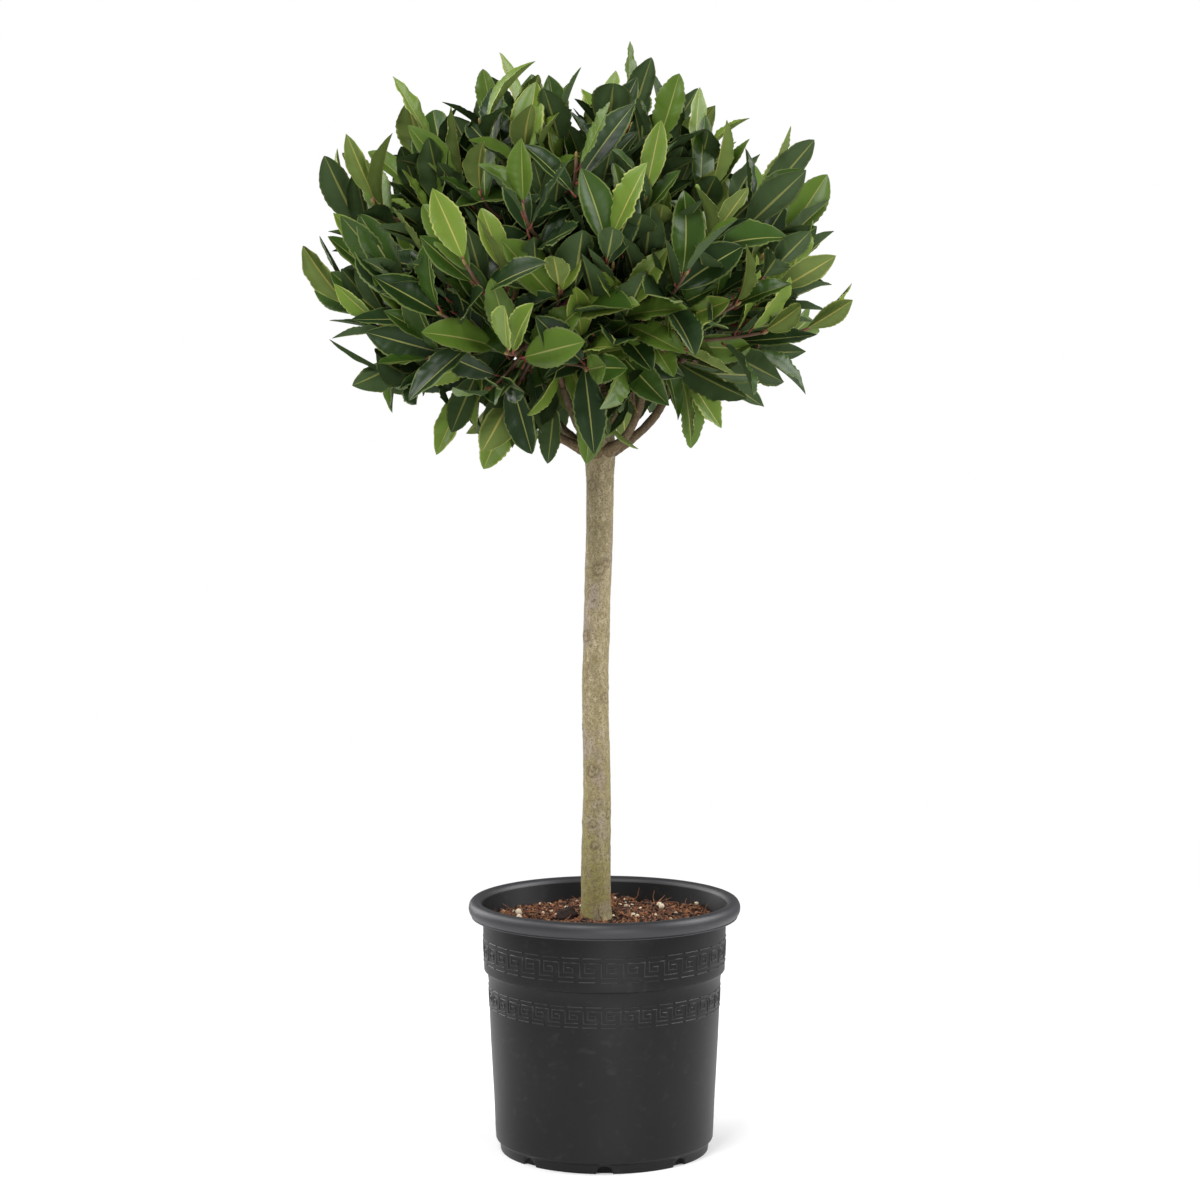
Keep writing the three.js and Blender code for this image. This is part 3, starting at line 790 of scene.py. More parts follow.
def twigs(name, site):
    """The stem, shoots, leaf stalks and buds of a mass as one piece."""
    batch = Batch()
    stem = np.vstack([site["bough"][-1], site["stem"]])
    batch.add(*swept(stem, np.linspace(BOUGH_TIP_RADIUS, 2.2, len(stem)), 8), TWIG_SLOTS["old"])
    for shoot in site["strong"]:
        batch.add(*swept(shoot["line"], np.linspace(2.2, 1.6, 9), 6), TWIG_SLOTS["old"])
    for shoot in site["fine"]:
        batch.add(*swept(shoot["line"], np.linspace(1.7, 1.3, 9), 5), TWIG_SLOTS["young"])
    for shoot in site["strong"] + site["fine"]:
        bud = shoot["tip"] + shoot["growth"] * np.array([[-1.0], [1.5], [4], [6.5], [8]])
        batch.add(*swept(bud, [1.1, 1.6, 1.9, 1.2, 0.3], 6), TWIG_SLOTS["bud"])
    for leaf in site["leaves"]:
        sag = leaf["node"] * 0.45 + leaf["root"] * 0.55 - leaf["face"] * 0.8
        stalk = np.array([leaf["node"], sag, leaf["root"] + leaf["along"]])
        batch.add(*swept(stalk, [1.45, 1.05, 0.9], 5), TWIG_SLOTS["stalk"])
    return batch.piece(name, twig_materials)


for site in sites:
    leaf_piece = blades(f"leaves_{site['name']}", site["leaves"])
    twig_piece = twigs(f"twigs_{site['name']}", site)
    for piece in (leaf_piece, twig_piece):
        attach(piece, "root")
        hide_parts(f"foliage_{site['name']}")
    faces = [len(piece.data.polygons) for piece in (leaf_piece, twig_piece)]
    print(site["name"], "leaves:", len(site["leaves"]), "faces:", faces)

# %% [markdown]
# ## Grain that several finishes share
# Bark, compost and moulded plastic all have a base colour that drifts from place to place, and a fine
# tooth that catches the light. Both are noise read at the surface's own place, so they're made once as
# node groups, and each material sets its own values.


# %% Node groups
def node_group(name, inputs, outputs):
    group = bpy.data.node_groups.new(name, "ShaderNodeTree")
    for title, kind, value in inputs:
        socket = group.interface.new_socket(title, in_out="INPUT", socket_type=f"NodeSocket{kind}")
        socket.default_value = value
    for title, kind in outputs:
        group.interface.new_socket(title, in_out="OUTPUT", socket_type=f"NodeSocket{kind}")
    entry = group.nodes.new("NodeGroupInput")
    leave = group.nodes.new("NodeGroupOutput")
    return group, entry.outputs, leave.inputs


drift, drift_in, drift_out = node_group(
    "Drift",
    [("Size", "Float", 20.0), ("Stretch", "Float", 1.0), ("From", "Float", 0.4), ("To", "Float", 0.6)],
    [("Mask", "Float")],
)
coords = wire(drift, "TexCoord")
scaled = wire(drift, "CombineXYZ", {"X": 1.0, "Y": 1.0, "Z": drift_in["Stretch"]})
placed = wire(drift, "VectorMath", {0: coords.outputs["Object"], 1: scaled.outputs[0]}, operation="MULTIPLY")
cloud = {"Vector": placed.outputs[0], "Scale": drift_in["Size"], "Detail": 6.0, "Roughness": 0.6}
cloud = wire(drift, "TexNoise", cloud).outputs[0]
sharpened = {"Value": cloud, "From Min": drift_in["From"], "From Max": drift_in["To"]}
sharpened = wire(drift, "MapRange", sharpened, interpolation_type="SMOOTHSTEP").outputs["Result"]
drift.links.new(sharpened, drift_out["Mask"])

tooth, tooth_in, tooth_out = node_group(
    "Tooth", [("Size", "Float", 900.0), ("Coarse", "Float", 0.5)], [("Height", "Float")]
)
spot = wire(tooth, "TexCoord").outputs["Object"]
fine = wire(tooth, "TexNoise", {"Vector": spot, "Scale": tooth_in["Size"], "Detail": 3.0})
wider = wire(tooth, "Math", {0: tooth_in["Size"], 1: 0.22}, operation="MULTIPLY")
broad = wire(tooth, "TexNoise", {"Vector": spot, "Scale": wider.outputs[0], "Detail": 3.0})
blend = wire(tooth, "Mix", {"Factor": tooth_in["Coarse"], "A": fine.outputs[0], "B": broad.outputs[0]})
tooth.links.new(blend.outputs[0], tooth_out["Height"])


def use_group(tree, group, **values):
    node = tree.nodes.new("ShaderNodeGroup")
    node.node_tree = group
    for key, value in values.items():
        node.inputs[key.title()].default_value = value
    return node


def patches(tree, size, stretch, low, high):
    """A mask of soft-edged patches, about size of them to a metre."""
    return use_group(tree, drift, size=size, stretch=stretch, **{"from": low, "to": high}).outputs[0]


def times(tree, first, second):
    return wire(tree, "Math", {0: first, 1: second}, operation="MULTIPLY").outputs[0]


def mixed(tree, mask, low, high):
    """A colour that goes from low to high with a mask. Either end may be another node's output."""
    node = tree.nodes.new("ShaderNodeMix")
    node.data_type = "RGBA"
    for socket, value in ((node.inputs["Factor"], mask), (node.inputs[6], low), (node.inputs[7], high)):
        if isinstance(value, bpy.types.NodeSocket):
            tree.links.new(value, socket)
        else:
            socket.default_value = (*value, 1)
    return node.outputs[2]


# %% [markdown]
# ## Bark
# Young bay bark is smooth: khaki grey, with an olive bloom of algae low down, small raised pores that
# lie across the stem, and round scars where side shoots were rubbed off. The pores and scars are real
# relief. The stem is a tube of many small faces, and each corner is pushed out or in by noise, by the
# nearest pore and by the nearest scar.

# %% Stem relief
STEM_PROFILE = np.array([  # height over the compost, radius
    (0, 17.2), (5, 16.3), (16, 15.4), (55, 14.9), (130, 14.2), (230, 13.5), (300, 13.4),
    (380, 13.8), (455, 14.2), (474, 15.4), (492, 16), (512, 12.5), (538, 8),
])
SCARS = [  # azimuth in degrees from the right, height, radius, how far it stands out
    (252, 396, 6.0, 1.1), (256, 341, 3.4, 0.7), (264, 319, 3.8, 0.6), (270, 603, 5.6, 1.1),
    (302, 608, 4.2, 0.7), (214, 534, 5.4, 1.2), (232, 688, 5.0, 0.8), (318, 470, 4.6, 0.8),
    (330, 350, 4.4, 0.8), (40, 600, 5.0, 1.0), (110, 520, 4.5, 0.9), (70, 420, 4.0, 0.8),
    (150, 340, 4.5, 0.9), (20, 480, 4.0, 0.8), (130, 660, 4.5, 0.9), (90, 290, 4.0, 0.7),
    (180, 440, 4.0, 0.9),
]
STEM_SIDES, STEM_STEP = 88, 1.2
STEM_TOP = STEM_PROFILE[-1, 0]
MEAN_RADIUS = 14  # of the stem, for measuring along its surface
PORE_COUNT = 620


def round_stem(angle, height):
    """Points on a limb's surface unrolled flat, so that distances along it can be measured."""
    return np.column_stack([angle * MEAN_RADIUS, height])


heights = np.arange(0, STEM_TOP + 0.1, STEM_STEP)
turns = np.arange(STEM_SIDES) * 2 * math.pi / STEM_SIDES
height_grid, turn_grid = (grid.ravel() for grid in np.meshgrid(heights, turns, indexing="ij"))
radius = np.interp(height_grid, *STEM_PROFILE.T)
ways = np.column_stack([np.cos(turn_grid), np.sin(turn_grid), np.zeros_like(turn_grid)])
around = np.column_stack([ways[:, 0] * MEAN_RADIUS, ways[:, 1] * MEAN_RADIUS, height_grid])
relief = 0.45 * value_noise(around * [1, 1, 0.25], 9, 1) + 0.28 * value_noise(around * [1, 1, 0.35], 3.5, 2)
relief += 0.12 * value_noise(around, 1.6, 3) + 0.35 * value_noise(around, 30, 4)

luck = np.random.default_rng(11)
flat = round_stem(turn_grid, height_grid)
for _ in range(PORE_COUNT):
    middle = np.array([luck.uniform(0, 2 * math.pi) * MEAN_RADIUS, luck.uniform(5, 530)])
    width, tall = luck.uniform(0.9, 1.9), luck.uniform(0.45, 0.8)
    near = np.abs(flat[:, 1] - middle[1]) < 3
    away = (flat[near] - middle) / [width, tall]
    relief[near] += luck.uniform(0.15, 0.4) * np.exp(-np.sum(away**2, axis=1))
for azimuth, height, size, stand in SCARS:
    middle = round_stem(np.array([math.radians(azimuth)]), np.array([height - SOIL_LEVEL]))[0]
    away = np.linalg.norm((flat - middle) / [size, size * 0.72], axis=1)
    relief += stand * (np.exp(-(away**2)) - 0.75 * np.exp(-((away * 2.2) ** 2)))
    relief += 0.25 * stand * np.exp(-((away - 1.3) ** 2) * 9)
foot = np.clip(1 - height_grid / 30, 0, 1) ** 2
relief += foot * 1.2 * np.sin(3 * turn_grid + 0.6) * np.clip(height_grid / 4, 0, 1)

stem_corners = stem_centre(height_grid + SOIL_LEVEL + FIT_GAP) + ways * (radius + relief)[:, None]
stem_faces = grid_faces(len(heights), STEM_SIDES, wrap=True)
print("stem corners:", len(stem_corners), "relief:", relief.min().round(2), "to", relief.max().round(2))

# %% [markdown]
# The finish follows the height: yellow-green algae near the compost, khaki grey above, and a browner
# tone in the head. Fine freckles break it up. The mask for the algae comes from the height along the
# stem, so it is the same from every side.


# %% Bark finish
def patterned(name, roughness):
    """An empty patterned material: its tree, and its shader for the linking."""
    made = bpy.data.materials.new(name)
    made.use_nodes = True
    shader = made.node_tree.nodes["Principled BSDF"]
    shader.inputs["Roughness"].default_value = roughness
    return made, made.node_tree, shader


def height_mask(tree, low, high):
    """0 below one height and 1 above another, in metres over the floor."""
    spot = wire(tree, "TexCoord").outputs["Object"]
    height = wire(tree, "SeparateXYZ", {0: spot}).outputs["Z"]
    return wire(tree, "MapRange", {"Value": height, "From Min": low, "From Max": high}).outputs["Result"]


def bumped(tree, shader, height, strength, distance):
    bump = wire(tree, "Bump", {"Height": height, "Strength": strength, "Distance": distance})
    tree.links.new(bump.outputs[0], shader.inputs["Normal"])


def scar_share(tree, ragged):
    """How far each place is from the nearest scar's middle, in radii of that scar, with a ragged edge."""
    spot, nearest = wire(tree, "TexCoord").outputs["Object"], 9.0
    for azimuth, height, size, _ in SCARS:
        radius = np.interp(height - SOIL_LEVEL, *STEM_PROFILE.T)
        middle = stem_centre(height)[0] + direction(math.radians(azimuth), 0) * radius
        ends = {0: spot, 1: tuple(middle * MM)}
        away = wire(tree, "VectorMath", ends, operation="DISTANCE").outputs["Value"]
        share = wire(tree, "Math", {0: away, 1: size * MM}, operation="DIVIDE").outputs[0]
        nearest = wire(tree, "Math", {0: nearest, 1: share}, operation="MINIMUM").outputs[0]
    return wire(tree, "Math", {0: ragged, 1: 0.55, 2: nearest}, operation="MULTIPLY_ADD").outputs[0]


def falling(tree, value, high, low):
    """1 where a value is under low and 0 where it is over high."""
    return wire(tree, "MapRange", {"Value": value, "From Min": high, "From Max": low}).outputs["Result"]


SCAR_RINGS = [  # where a ring starts and is full, in radii of the scar, how strong it is, and its tone
    (1.6, 1.25, 0.6, "freckle"), (1.1, 0.85, 0.65, "light"), (0.55, 0.35, 0.6, "freckle"),
]
ALGAE_HEIGHTS, BROWN_HEIGHTS = (0.25, 0.50), (0.70, 0.80)  # metres between which they fade


def bark_finish(name, tones, scarred=False):
    """Bark with mottling, freckles and fine grain, in this limb's own tones."""
    made, tree, shader = patterned(name, 0.85)
    marks = patches(tree, 330, 0.7, 0.44, 0.60)
    high_up = height_mask(tree, *ALGAE_HEIGHTS)
    low_down = wire(tree, "Math", {0: 1.0, 1: high_up}, operation="SUBTRACT").outputs[0]
    layers = [  # each tone, and the mask that lays it over the ones before it
        ("light", patches(tree, 52, 0.4, 0.38, 0.60)),
        ("pale", times(tree, patches(tree, 190, 0.55, 0.50, 0.66), 0.7)),
        ("algae", times(tree, low_down, patches(tree, 48, 0.5, 0.26, 0.56))),
        ("brown", height_mask(tree, *BROWN_HEIGHTS)),
        ("stain", times(tree, patches(tree, 28, 0.5, 0.52, 0.64), 0.6)),
        ("ochre", times(tree, patches(tree, 120, 0.8, 0.62, 0.70), 0.55)),
        ("mark", times(tree, marks, 0.62)),
        ("freckle", times(tree, patches(tree, 560, 1.3, 0.53, 0.62), 0.7)),
    ]
    if scarred:
        share = scar_share(tree, marks)
        for high, low, strength, tone in SCAR_RINGS:
            layers.append((tone, times(tree, falling(tree, share, high, low), strength)))
    skin = tones["dark"]
    for tone, mask in layers:
        skin = mixed(tree, mask, skin, tones[tone])
    tree.links.new(skin, shader.inputs["Base Color"])
    grain = use_group(tree, tooth, size=900, coarse=0.6)
    bumped(tree, shader, grain.outputs[0], 0.8, 0.0008)
    return made


STEM_TONES = {
    "dark": (0.246, 0.203, 0.107), "light": (0.325, 0.270, 0.157), "pale": (0.452, 0.387, 0.253),
    "mark": (0.176, 0.136, 0.066), "freckle": (0.080, 0.054, 0.026), "stain": (0.300, 0.240, 0.222),
    "ochre": (0.345, 0.240, 0.058), "algae": (0.240, 0.216, 0.064), "brown": (0.190, 0.140, 0.080),
}
BOUGH_TONES = {
    "dark": (0.112, 0.076, 0.034), "light": (0.168, 0.120, 0.056), "pale": (0.250, 0.190, 0.100),
    "mark": (0.070, 0.042, 0.020), "freckle": (0.040, 0.023, 0.012), "stain": (0.120, 0.086, 0.064),
    "ochre": (0.160, 0.092, 0.030), "algae": (0.120, 0.102, 0.040), "brown": (0.110, 0.072, 0.034),
}
bark = bark_finish("bark", STEM_TONES, scarred=True)
bough_bark = bark_finish("bough_bark", BOUGH_TONES)

# %% Stem and boughs
stem_piece = mesh_piece("trunk_bark", stem_corners, stem_faces, [bark])
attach(stem_piece, "root")
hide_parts("trunk")

COLLAR, COLLAR_REACH = 4.4, 22  # how far a bough swells where it leaves the stem, and how far out
BOUGH_RINGS, BOUGH_SIDES = 60, 20
BOUGH_WANDER = 1.2
bough_batch = Batch()
for site in sites:
    root, middle, tip = (site["bough"][i] for i in (0, 12, -1))
    line = bent(root, middle * 2 - (root + tip) / 2, tip, BOUGH_RINGS)
    line += np.column_stack([value_noise(line + [0, 0, 7 * i], 40, 20 + i) for i in range(3)]) * BOUGH_WANDER
    girth = np.linspace(site["tier"]["radius"], BOUGH_TIP_RADIUS, len(line)) + 0.5 * value_noise(line, 12, 5)
    girth += COLLAR * np.exp(-((np.linalg.norm(line - line[0], axis=1) / COLLAR_REACH) ** 2))
    corners, faces = swept(line, girth, BOUGH_SIDES)
    core = np.repeat(np.vstack([line[0], line, line[-1]]), BOUGH_SIDES, axis=0)
    rough = 1 + 0.06 * value_noise(corners, 3, 6) + 0.05 * value_noise(corners, 9, 7)
    bough_batch.add(core + (corners - core) * rough[:, None], faces)
bough_piece = bough_batch.piece("boughs_bark", [bough_bark])
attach(bough_piece, "root")
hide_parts(*[f"bough_{site['name']}" for site in sites])

# %% [markdown]
# ## The pot
# A nursery pot is moulded in one shot, so its wall is thin and even, its rim is a fat roll to carry
# it by, and a step below the collar lets pots stack. It is a body of revolution, so one outline of
# radius and height describes it. Corners of the outline are rounded by small arcs, as every moulded
# corner is. Only the drain notches in the foot break the round: there the foot's lower corners are
# lifted on to an arch.


# %% Outline of the pot
def rounded(outline, steps=5):
    """The outline with an arc at each corner that has a fillet. An entry is radius, height, fillet."""
    points = []
    for i, (r, z, fillet) in enumerate(outline):
        here = np.array([r, z], float)
        if not fillet or i in (0, len(outline) - 1):
            points.append(here)
            continue
        back = np.array(outline[i - 1][:2], float) - here
        on = np.array(outline[i + 1][:2], float) - here
        reach = min(fillet, 0.45 * np.linalg.norm(back), 0.45 * np.linalg.norm(on))
        start, end = here + unit(back) * reach, here + unit(on) * reach
        for share in np.linspace(0, 1, steps):
            points.append((1 - share) ** 2 * start + 2 * share * (1 - share) * here + share**2 * end)
    return np.array(points)


RIM_MIDDLE = (133.0, 252.4)
RIM_HALF = (7.0, 8.4)
RIM_SQUARED = 0.85  # under 1 squares the roll a little
RIM_TURNS = np.radians(np.linspace(168, -58, 24))  # from inside the rim, over it, to its outer foot


def rim_point(turn):
    level = math.cos(turn)
    reach = RIM_HALF[0] * math.copysign(abs(level) ** RIM_SQUARED, level)
    return (RIM_MIDDLE[0] + reach, RIM_MIDDLE[1] + RIM_HALF[1] * math.sin(turn), 0)


POT_OUTLINE = [
    # inside, from the middle of the floor up
    (0, 11, 0), (60, 11, 0), (104.6, 11, 2), (109.4, 22, 3), (116.8, 182, 2), (120.6, 188.6, 1.5),
    (121.6, 236, 2), *map(rim_point, RIM_TURNS),
    # under the rim, and down the collar
    (136.6, 244.8, 0.3), (137.4, 244.5, 0.3), (137.2, 243.6, 0.4), (135.2, 243.3, 0.6), (126.2, 243.2, 1.0),
    (125.3, 241.4, 0.8), (125.1, 230, 0), (124.9, 217, 0), (124.5, 205, 0), (124.3, 194, 0),
    (124.2, 188.6, 0.9),
    # under the step, and down the wall
    (121.4, 186.9, 1.2), (120.2, 182, 0), (119.7, 177, 0), (119.2, 165, 0), (118.9, 154, 0), (118.4, 140, 0),
    (117.5, 117, 0), (116.3, 95, 0), (115.5, 79, 0), (114.3, 58, 0), (113.6, 41, 0), (113.1, 26, 0),
    # the foot ring, and back to the middle
    (112.3, 12.2, 5.5), (109.2, 9.9, 0.8), (108.3, 9.0, 0.5), (107.9, 4, 0), (107.4, 0, 0.6), (103.2, 0, 0),
    (102.4, 0, 0), (40, 0, 0), (0, 0, 0),
]
pot_profile = rounded(POT_OUTLINE)
DRAIN_COUNT, DRAIN_RADIUS = 8, 8.2
FOOT_INSIDE, FOOT_MIDDLE, FOOT_HEIGHT = 103, 106, 9.5  # radii of the foot ring, and its height
FRONT = -math.pi / 2

# Columns stand close together at the notches, and wider apart elsewhere.
pitch = 2 * math.pi / DRAIN_COUNT
close = np.radians(np.arange(-5.4, 5.41, 0.36))
columns = [FRONT + 2 * math.pi * i / DRAIN_COUNT + close for i in range(DRAIN_COUNT)]
columns.append(np.radians(np.arange(0, 360, 1.25)))
columns = np.unique(np.round(np.mod(np.concatenate(columns), 2 * math.pi), 5))
columns = columns[np.concatenate([[True], np.diff(columns) > 0.002])]


def round_axis(radius, turn, height):
    """Places round the pot's axis, as an array with a row for each."""
    x, y = radius * np.cos(turn), radius * np.sin(turn)
    return np.column_stack([np.ravel(x), np.ravel(y), np.ravel(height)])


ring_turn, ring_radius = np.meshgrid(columns, pot_profile[:, 0], indexing="xy")
_, ring_height = np.meshgrid(columns, pot_profile[:, 1], indexing="xy")
off_notch = np.abs(np.mod(ring_turn - FRONT + pitch / 2, pitch) - pitch / 2) * FOOT_MIDDLE
arch = np.sqrt(np.clip(DRAIN_RADIUS**2 - off_notch**2, 0, None))
in_foot = (ring_radius > FOOT_INSIDE) & (ring_height < FOOT_HEIGHT)
ring_height = np.where(in_foot, np.maximum(ring_height, arch), ring_height)
pot_corners = round_axis(ring_radius, ring_turn, ring_height)
pot_faces = grid_faces(len(pot_profile), len(columns), wrap=True)[:, ::-1]
print("pot outline points:", len(pot_profile), "columns:", len(columns))

# %% [markdown]
# ## The meander bands
# Two bands of Greek key run round the pot: a wider one on the collar, and a smaller one below the step.
# The pattern is thousands of years old. Each key is a low rib along a path that winds inward, laid on
# the wall by its own radius there. A line over and a line under each key close the band.

# %% Lay the keys on the wall
KEY_PATHS = [  # each is a path in shares of a key's width and height
    [(0.25, 0.6), (0.52, 0.6), (0.52, 0.4), (0.09, 0.4), (0.09, 0.8), (0.86, 0.8), (0.86, 0.2), (1.54, 0.2)],
    [(0.05, 1.0), (0.80, 1.0)],
    [(-0.15, 0.0), (0.55, 0.0)],
]
BANDS = [{"low": 198.6, "high": 222.8, "count": 36}, {"low": 151.6, "high": 172.2, "count": 40}]
RIB_WIDTH, RIB_STAND, RIB_SUNK = 1.6, 0.6, -0.15
RIB_SECTION = [(-0.5, RIB_SUNK), (-0.2, RIB_STAND), (0.2, RIB_STAND), (0.5, RIB_SUNK)]  # aside, stand
# The rim's slot takes a lighter, bluer plastic: painted sheen.
WALL_SLOT, RIM_SHEEN_SLOT, KEY_SLOT = range(3)
outer_wall = np.array([(r, z) for r, z, _ in POT_OUTLINE if r > 112 and 12 < z < 239])[::-1]
outer_wall = outer_wall[np.argsort(outer_wall[:, 1])]


def wall_radius(height):
    return np.interp(height, outer_wall[:, 1], outer_wall[:, 0])


def on_wall(along, height, stand):
    """A place on the wall: along is the way round at the wall, in radians from the front."""
    return round_axis(wall_radius(height) + stand, FRONT + along, height)


def rib(batch, path, scale):
    """A low rib with sloping sides along a path of (radians, height) points, mitred at its corners."""
    path = np.asarray(path, float)
    flat = path * [scale, 1]
    ways = np.diff(flat, axis=0)
    ways /= np.linalg.norm(ways, axis=1)[:, None]
    normals = np.column_stack([-ways[:, 1], ways[:, 0]])
    mitres = np.vstack([normals[0], normals[:-1] + normals[1:], normals[-1]])
    squares = np.maximum(np.sum(mitres**2, axis=1), 1e-9)
    mitres /= (squares / np.array([1, *np.full(len(path) - 2, 2.0), 1]))[:, None]
    flat[0] -= ways[0] * RIB_WIDTH / 2
    flat[-1] += ways[-1] * RIB_WIDTH / 2
    rows = []
    for aside, stand in RIB_SECTION:
        spot = (flat + mitres * aside * RIB_WIDTH) / [scale, 1]
        rows.append(on_wall(spot[:, 0], spot[:, 1], stand))
    batch.add(np.stack(rows, axis=1).reshape(-1, 3), grid_faces(len(path), 4)[:, ::-1], KEY_SLOT)


# Faces above this height and outside this radius take the rim's painted sheen.
RIM_FOOT, RIM_EDGE = 243.0, 126.6  # the rim's plastic is above this height and outside this radius
middles = pot_corners[pot_faces].mean(axis=1)
on_rim = (middles[:, 2] > RIM_FOOT) & (np.hypot(middles[:, 0], middles[:, 1]) > RIM_EDGE)
key_batch = Batch()
key_batch.add(pot_corners, pot_faces, np.where(on_rim, RIM_SHEEN_SLOT, WALL_SLOT))
for band in BANDS:
    pitch = 2 * math.pi / band["count"]
    tall = band["high"] - band["low"]
    for i in range(band["count"]):
        for path in KEY_PATHS:
            points = [(pitch * (i + x), band["low"] + tall * z) for x, z in path]
            rib(key_batch, points, wall_radius(band["low"]))
print("corners with the keys:", key_batch.count)

# %% [markdown]
# The plastic is charcoal with a slight bloom. The rim is shinier, and its lighter, bluer colour is painted
# sheen, the bright room mirrored in its roll, so it has a finish of its own. A faint film of dust lies on
# both.

# %% Pot finish
DUST = (0.090, 0.080, 0.072)


def moulded(name, tones, roughness, gloss, grain):
    """Moulded plastic with a bloom that drifts between two tones, a film of dust and a fine grain."""
    made, tree, shader = patterned(name, roughness)
    shader.inputs["Specular IOR Level"].default_value = gloss
    tone = mixed(tree, patches(tree, 14, 0.6, 0.35, 0.70), *tones)
    tone = mixed(tree, times(tree, patches(tree, 70, 1.4, 0.54, 0.76), 0.10), tone, DUST)
    tree.links.new(tone, shader.inputs["Base Color"])
    pebble = use_group(tree, tooth, size=1500, coarse=0.3)
    bumped(tree, shader, pebble.outputs[0], grain, 0.0003)
    return made


pot_wall = moulded("pot_plastic", [(0.0047, 0.0041, 0.0044), (0.0071, 0.0063, 0.0067)], 0.44, 0.24, 0.3)
# The rim's lighter, bluer tones are painted sheen of the bright room, on the same plastic as the wall.
pot_rim_sheen = moulded("rim_plastic", [(0.0135, 0.0137, 0.0168), (0.0178, 0.0181, 0.0218)], 0.48, 0.6, 0.12)
# The keys' plastic is lighter than the wall's: painted highlight along the raised lines.
pot_key_highlight = moulded("key_plastic", [(0.0070, 0.0065, 0.0067), (0.0110, 0.0105, 0.0107)], 0.37, 0.34, 0.1)
pot_piece = key_batch.piece("pot_shell", [pot_wall, pot_rim_sheen, pot_key_highlight])
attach(pot_piece, "root")
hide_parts("pot")

# %% [markdown]
# ## Compost
# The bed is a round grid pushed up and down by noise in three sizes: clods, crumbs and grit. On it lie
# loose bits: chips of bark, strands of coir, and white perlite, which is volcanic glass popped like
# corn. Each kind is one mesh of many small shapes, because light catching on separate edges is what
# makes soil look loose.

# %% The bed
BED_RINGS, BED_SIDES = 92, 330
BED_RADIUS = 121.2
BED_LUMPS = [(3.2, 24), (3.0, 9), (2.1, 4.5)]  # height and width of clods, lumps and crumbs
BED_FALL = 3.5  # how far the bed falls away towards the wall
HEAP_PLACE, HEAP_HEIGHT, HEAP_WIDTH = (-40, -2), 9, 12  # a heap beside the stem
STEM_FOOT = -9  # where the stem stands from left to right, with 0 in the pot's middle
bed_sides = np.arange(BED_SIDES) * 2 * math.pi / BED_SIDES
bed_turn, bed_radius = np.meshgrid(bed_sides, BED_RADIUS * np.linspace(0.004, 1, BED_RINGS))
bed_x, bed_y = (bed_radius * np.cos(bed_turn)).ravel(), (bed_radius * np.sin(bed_turn)).ravel()


def bed_height(x, y):
    """The height of the compost's surface at places on it."""
    flat = np.column_stack([x, y, np.zeros_like(x)])
    lumps = sum(tall * value_noise(flat, wide, 31 + i) for i, (tall, wide) in enumerate(BED_LUMPS))
    off_x, off_y = (x - HEAP_PLACE[0]) / HEAP_WIDTH, (y - HEAP_PLACE[1]) / HEAP_WIDTH
    lumps += HEAP_HEIGHT * np.exp(-(off_x**2) - off_y**2)
    grit = 0.8 * value_noise(flat, 1.9, 34)
    fall = BED_FALL * (np.hypot(x, y) / BED_RADIUS) ** 2
    calm = 1 - 0.7 * np.exp(-((np.hypot(x - STEM_FOOT, y) / 22) ** 4))
    return SOIL_LEVEL + 0.4 - fall + (lumps + grit) * calm


bed_corners = np.column_stack([bed_x, bed_y, bed_height(bed_x, bed_y)])
BED_UNDERSIDE = [  # radius and height, down the inside of the wall to the middle of the floor
    (121.0, 230), (120.2, 195), (119.6, 189), (115.8, 182), (108.6, 24), (103, 11.4), (40, 11.4), (0.4, 11.4),
]
for reach, height in BED_UNDERSIDE:
    bed_corners = np.vstack([bed_corners, round_axis(reach, bed_sides, np.full(BED_SIDES, height))])
bed_faces = grid_faces(BED_RINGS + len(BED_UNDERSIDE), BED_SIDES, wrap=True)[:, ::-1]

compost, tree, shader = patterned("compost", 0.95)
earth = mixed(tree, patches(tree, 160, 1.0, 0.38, 0.62), (0.008, 0.0030, 0.0015), (0.056, 0.020, 0.008))
earth = mixed(tree, patches(tree, 620, 1.0, 0.42, 0.60), earth, (0.200, 0.092, 0.044))
tree.links.new(earth, shader.inputs["Base Color"])
grit = use_group(tree, tooth, size=1400, coarse=0.6)
bumped(tree, shader, grit.outputs[0], 0.8, 0.0012)

bed_piece = mesh_piece("compost_bed", bed_corners, bed_faces, [compost])
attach(bed_piece, "root")
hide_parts("soil")


# %% Chips, strands and perlite
def block(cuts):
    """A cube's surface cut into squares and pushed out to a ball of radius 1: corners and faces."""
    corners, faces, seen = [], [], {}
    steps = np.linspace(-1, 1, cuts + 1)
    for axis in range(3):
        for side in (-1, 1):
            index = np.zeros((cuts + 1, cuts + 1), int)
            for i, u in enumerate(steps):
                for j, v in enumerate(steps):
                    place = np.insert([u, v], axis, side)
                    key = tuple(np.round(place, 4))
                    if key not in seen:
                        seen[key] = len(corners)
                        corners.append(unit(place))
                    index[i, j] = seen[key]
            for i in range(cuts):
                for j in range(cuts):
                    quad = [index[i, j], index[i + 1, j], index[i + 1, j + 1], index[i, j + 1]]
                    faces.append(quad if (side == 1) == (axis != 1) else quad[::-1])
    return np.array(corners), np.array(faces)


def tumbled(luck):
    """A random turn of three axes."""
    first = unit(luck.normal(size=3))
    second = unit(np.cross(first, luck.normal(size=3)))
    return np.array([first, second, np.cross(first, second)])


def scatter(luck, inner=18, outer=119):
    """A random place on the compost, clear of the stem, with the height of the bed there."""
    while True:
        reach, turn = outer * math.sqrt(luck.random()), luck.uniform(0, 2 * math.pi)
        x, y = reach * math.cos(turn), reach * math.sin(turn)
        if math.hypot(x - STEM_FOOT, y) > inner:
            return x, y, bed_height(np.array([x]), np.array([y]))[0]


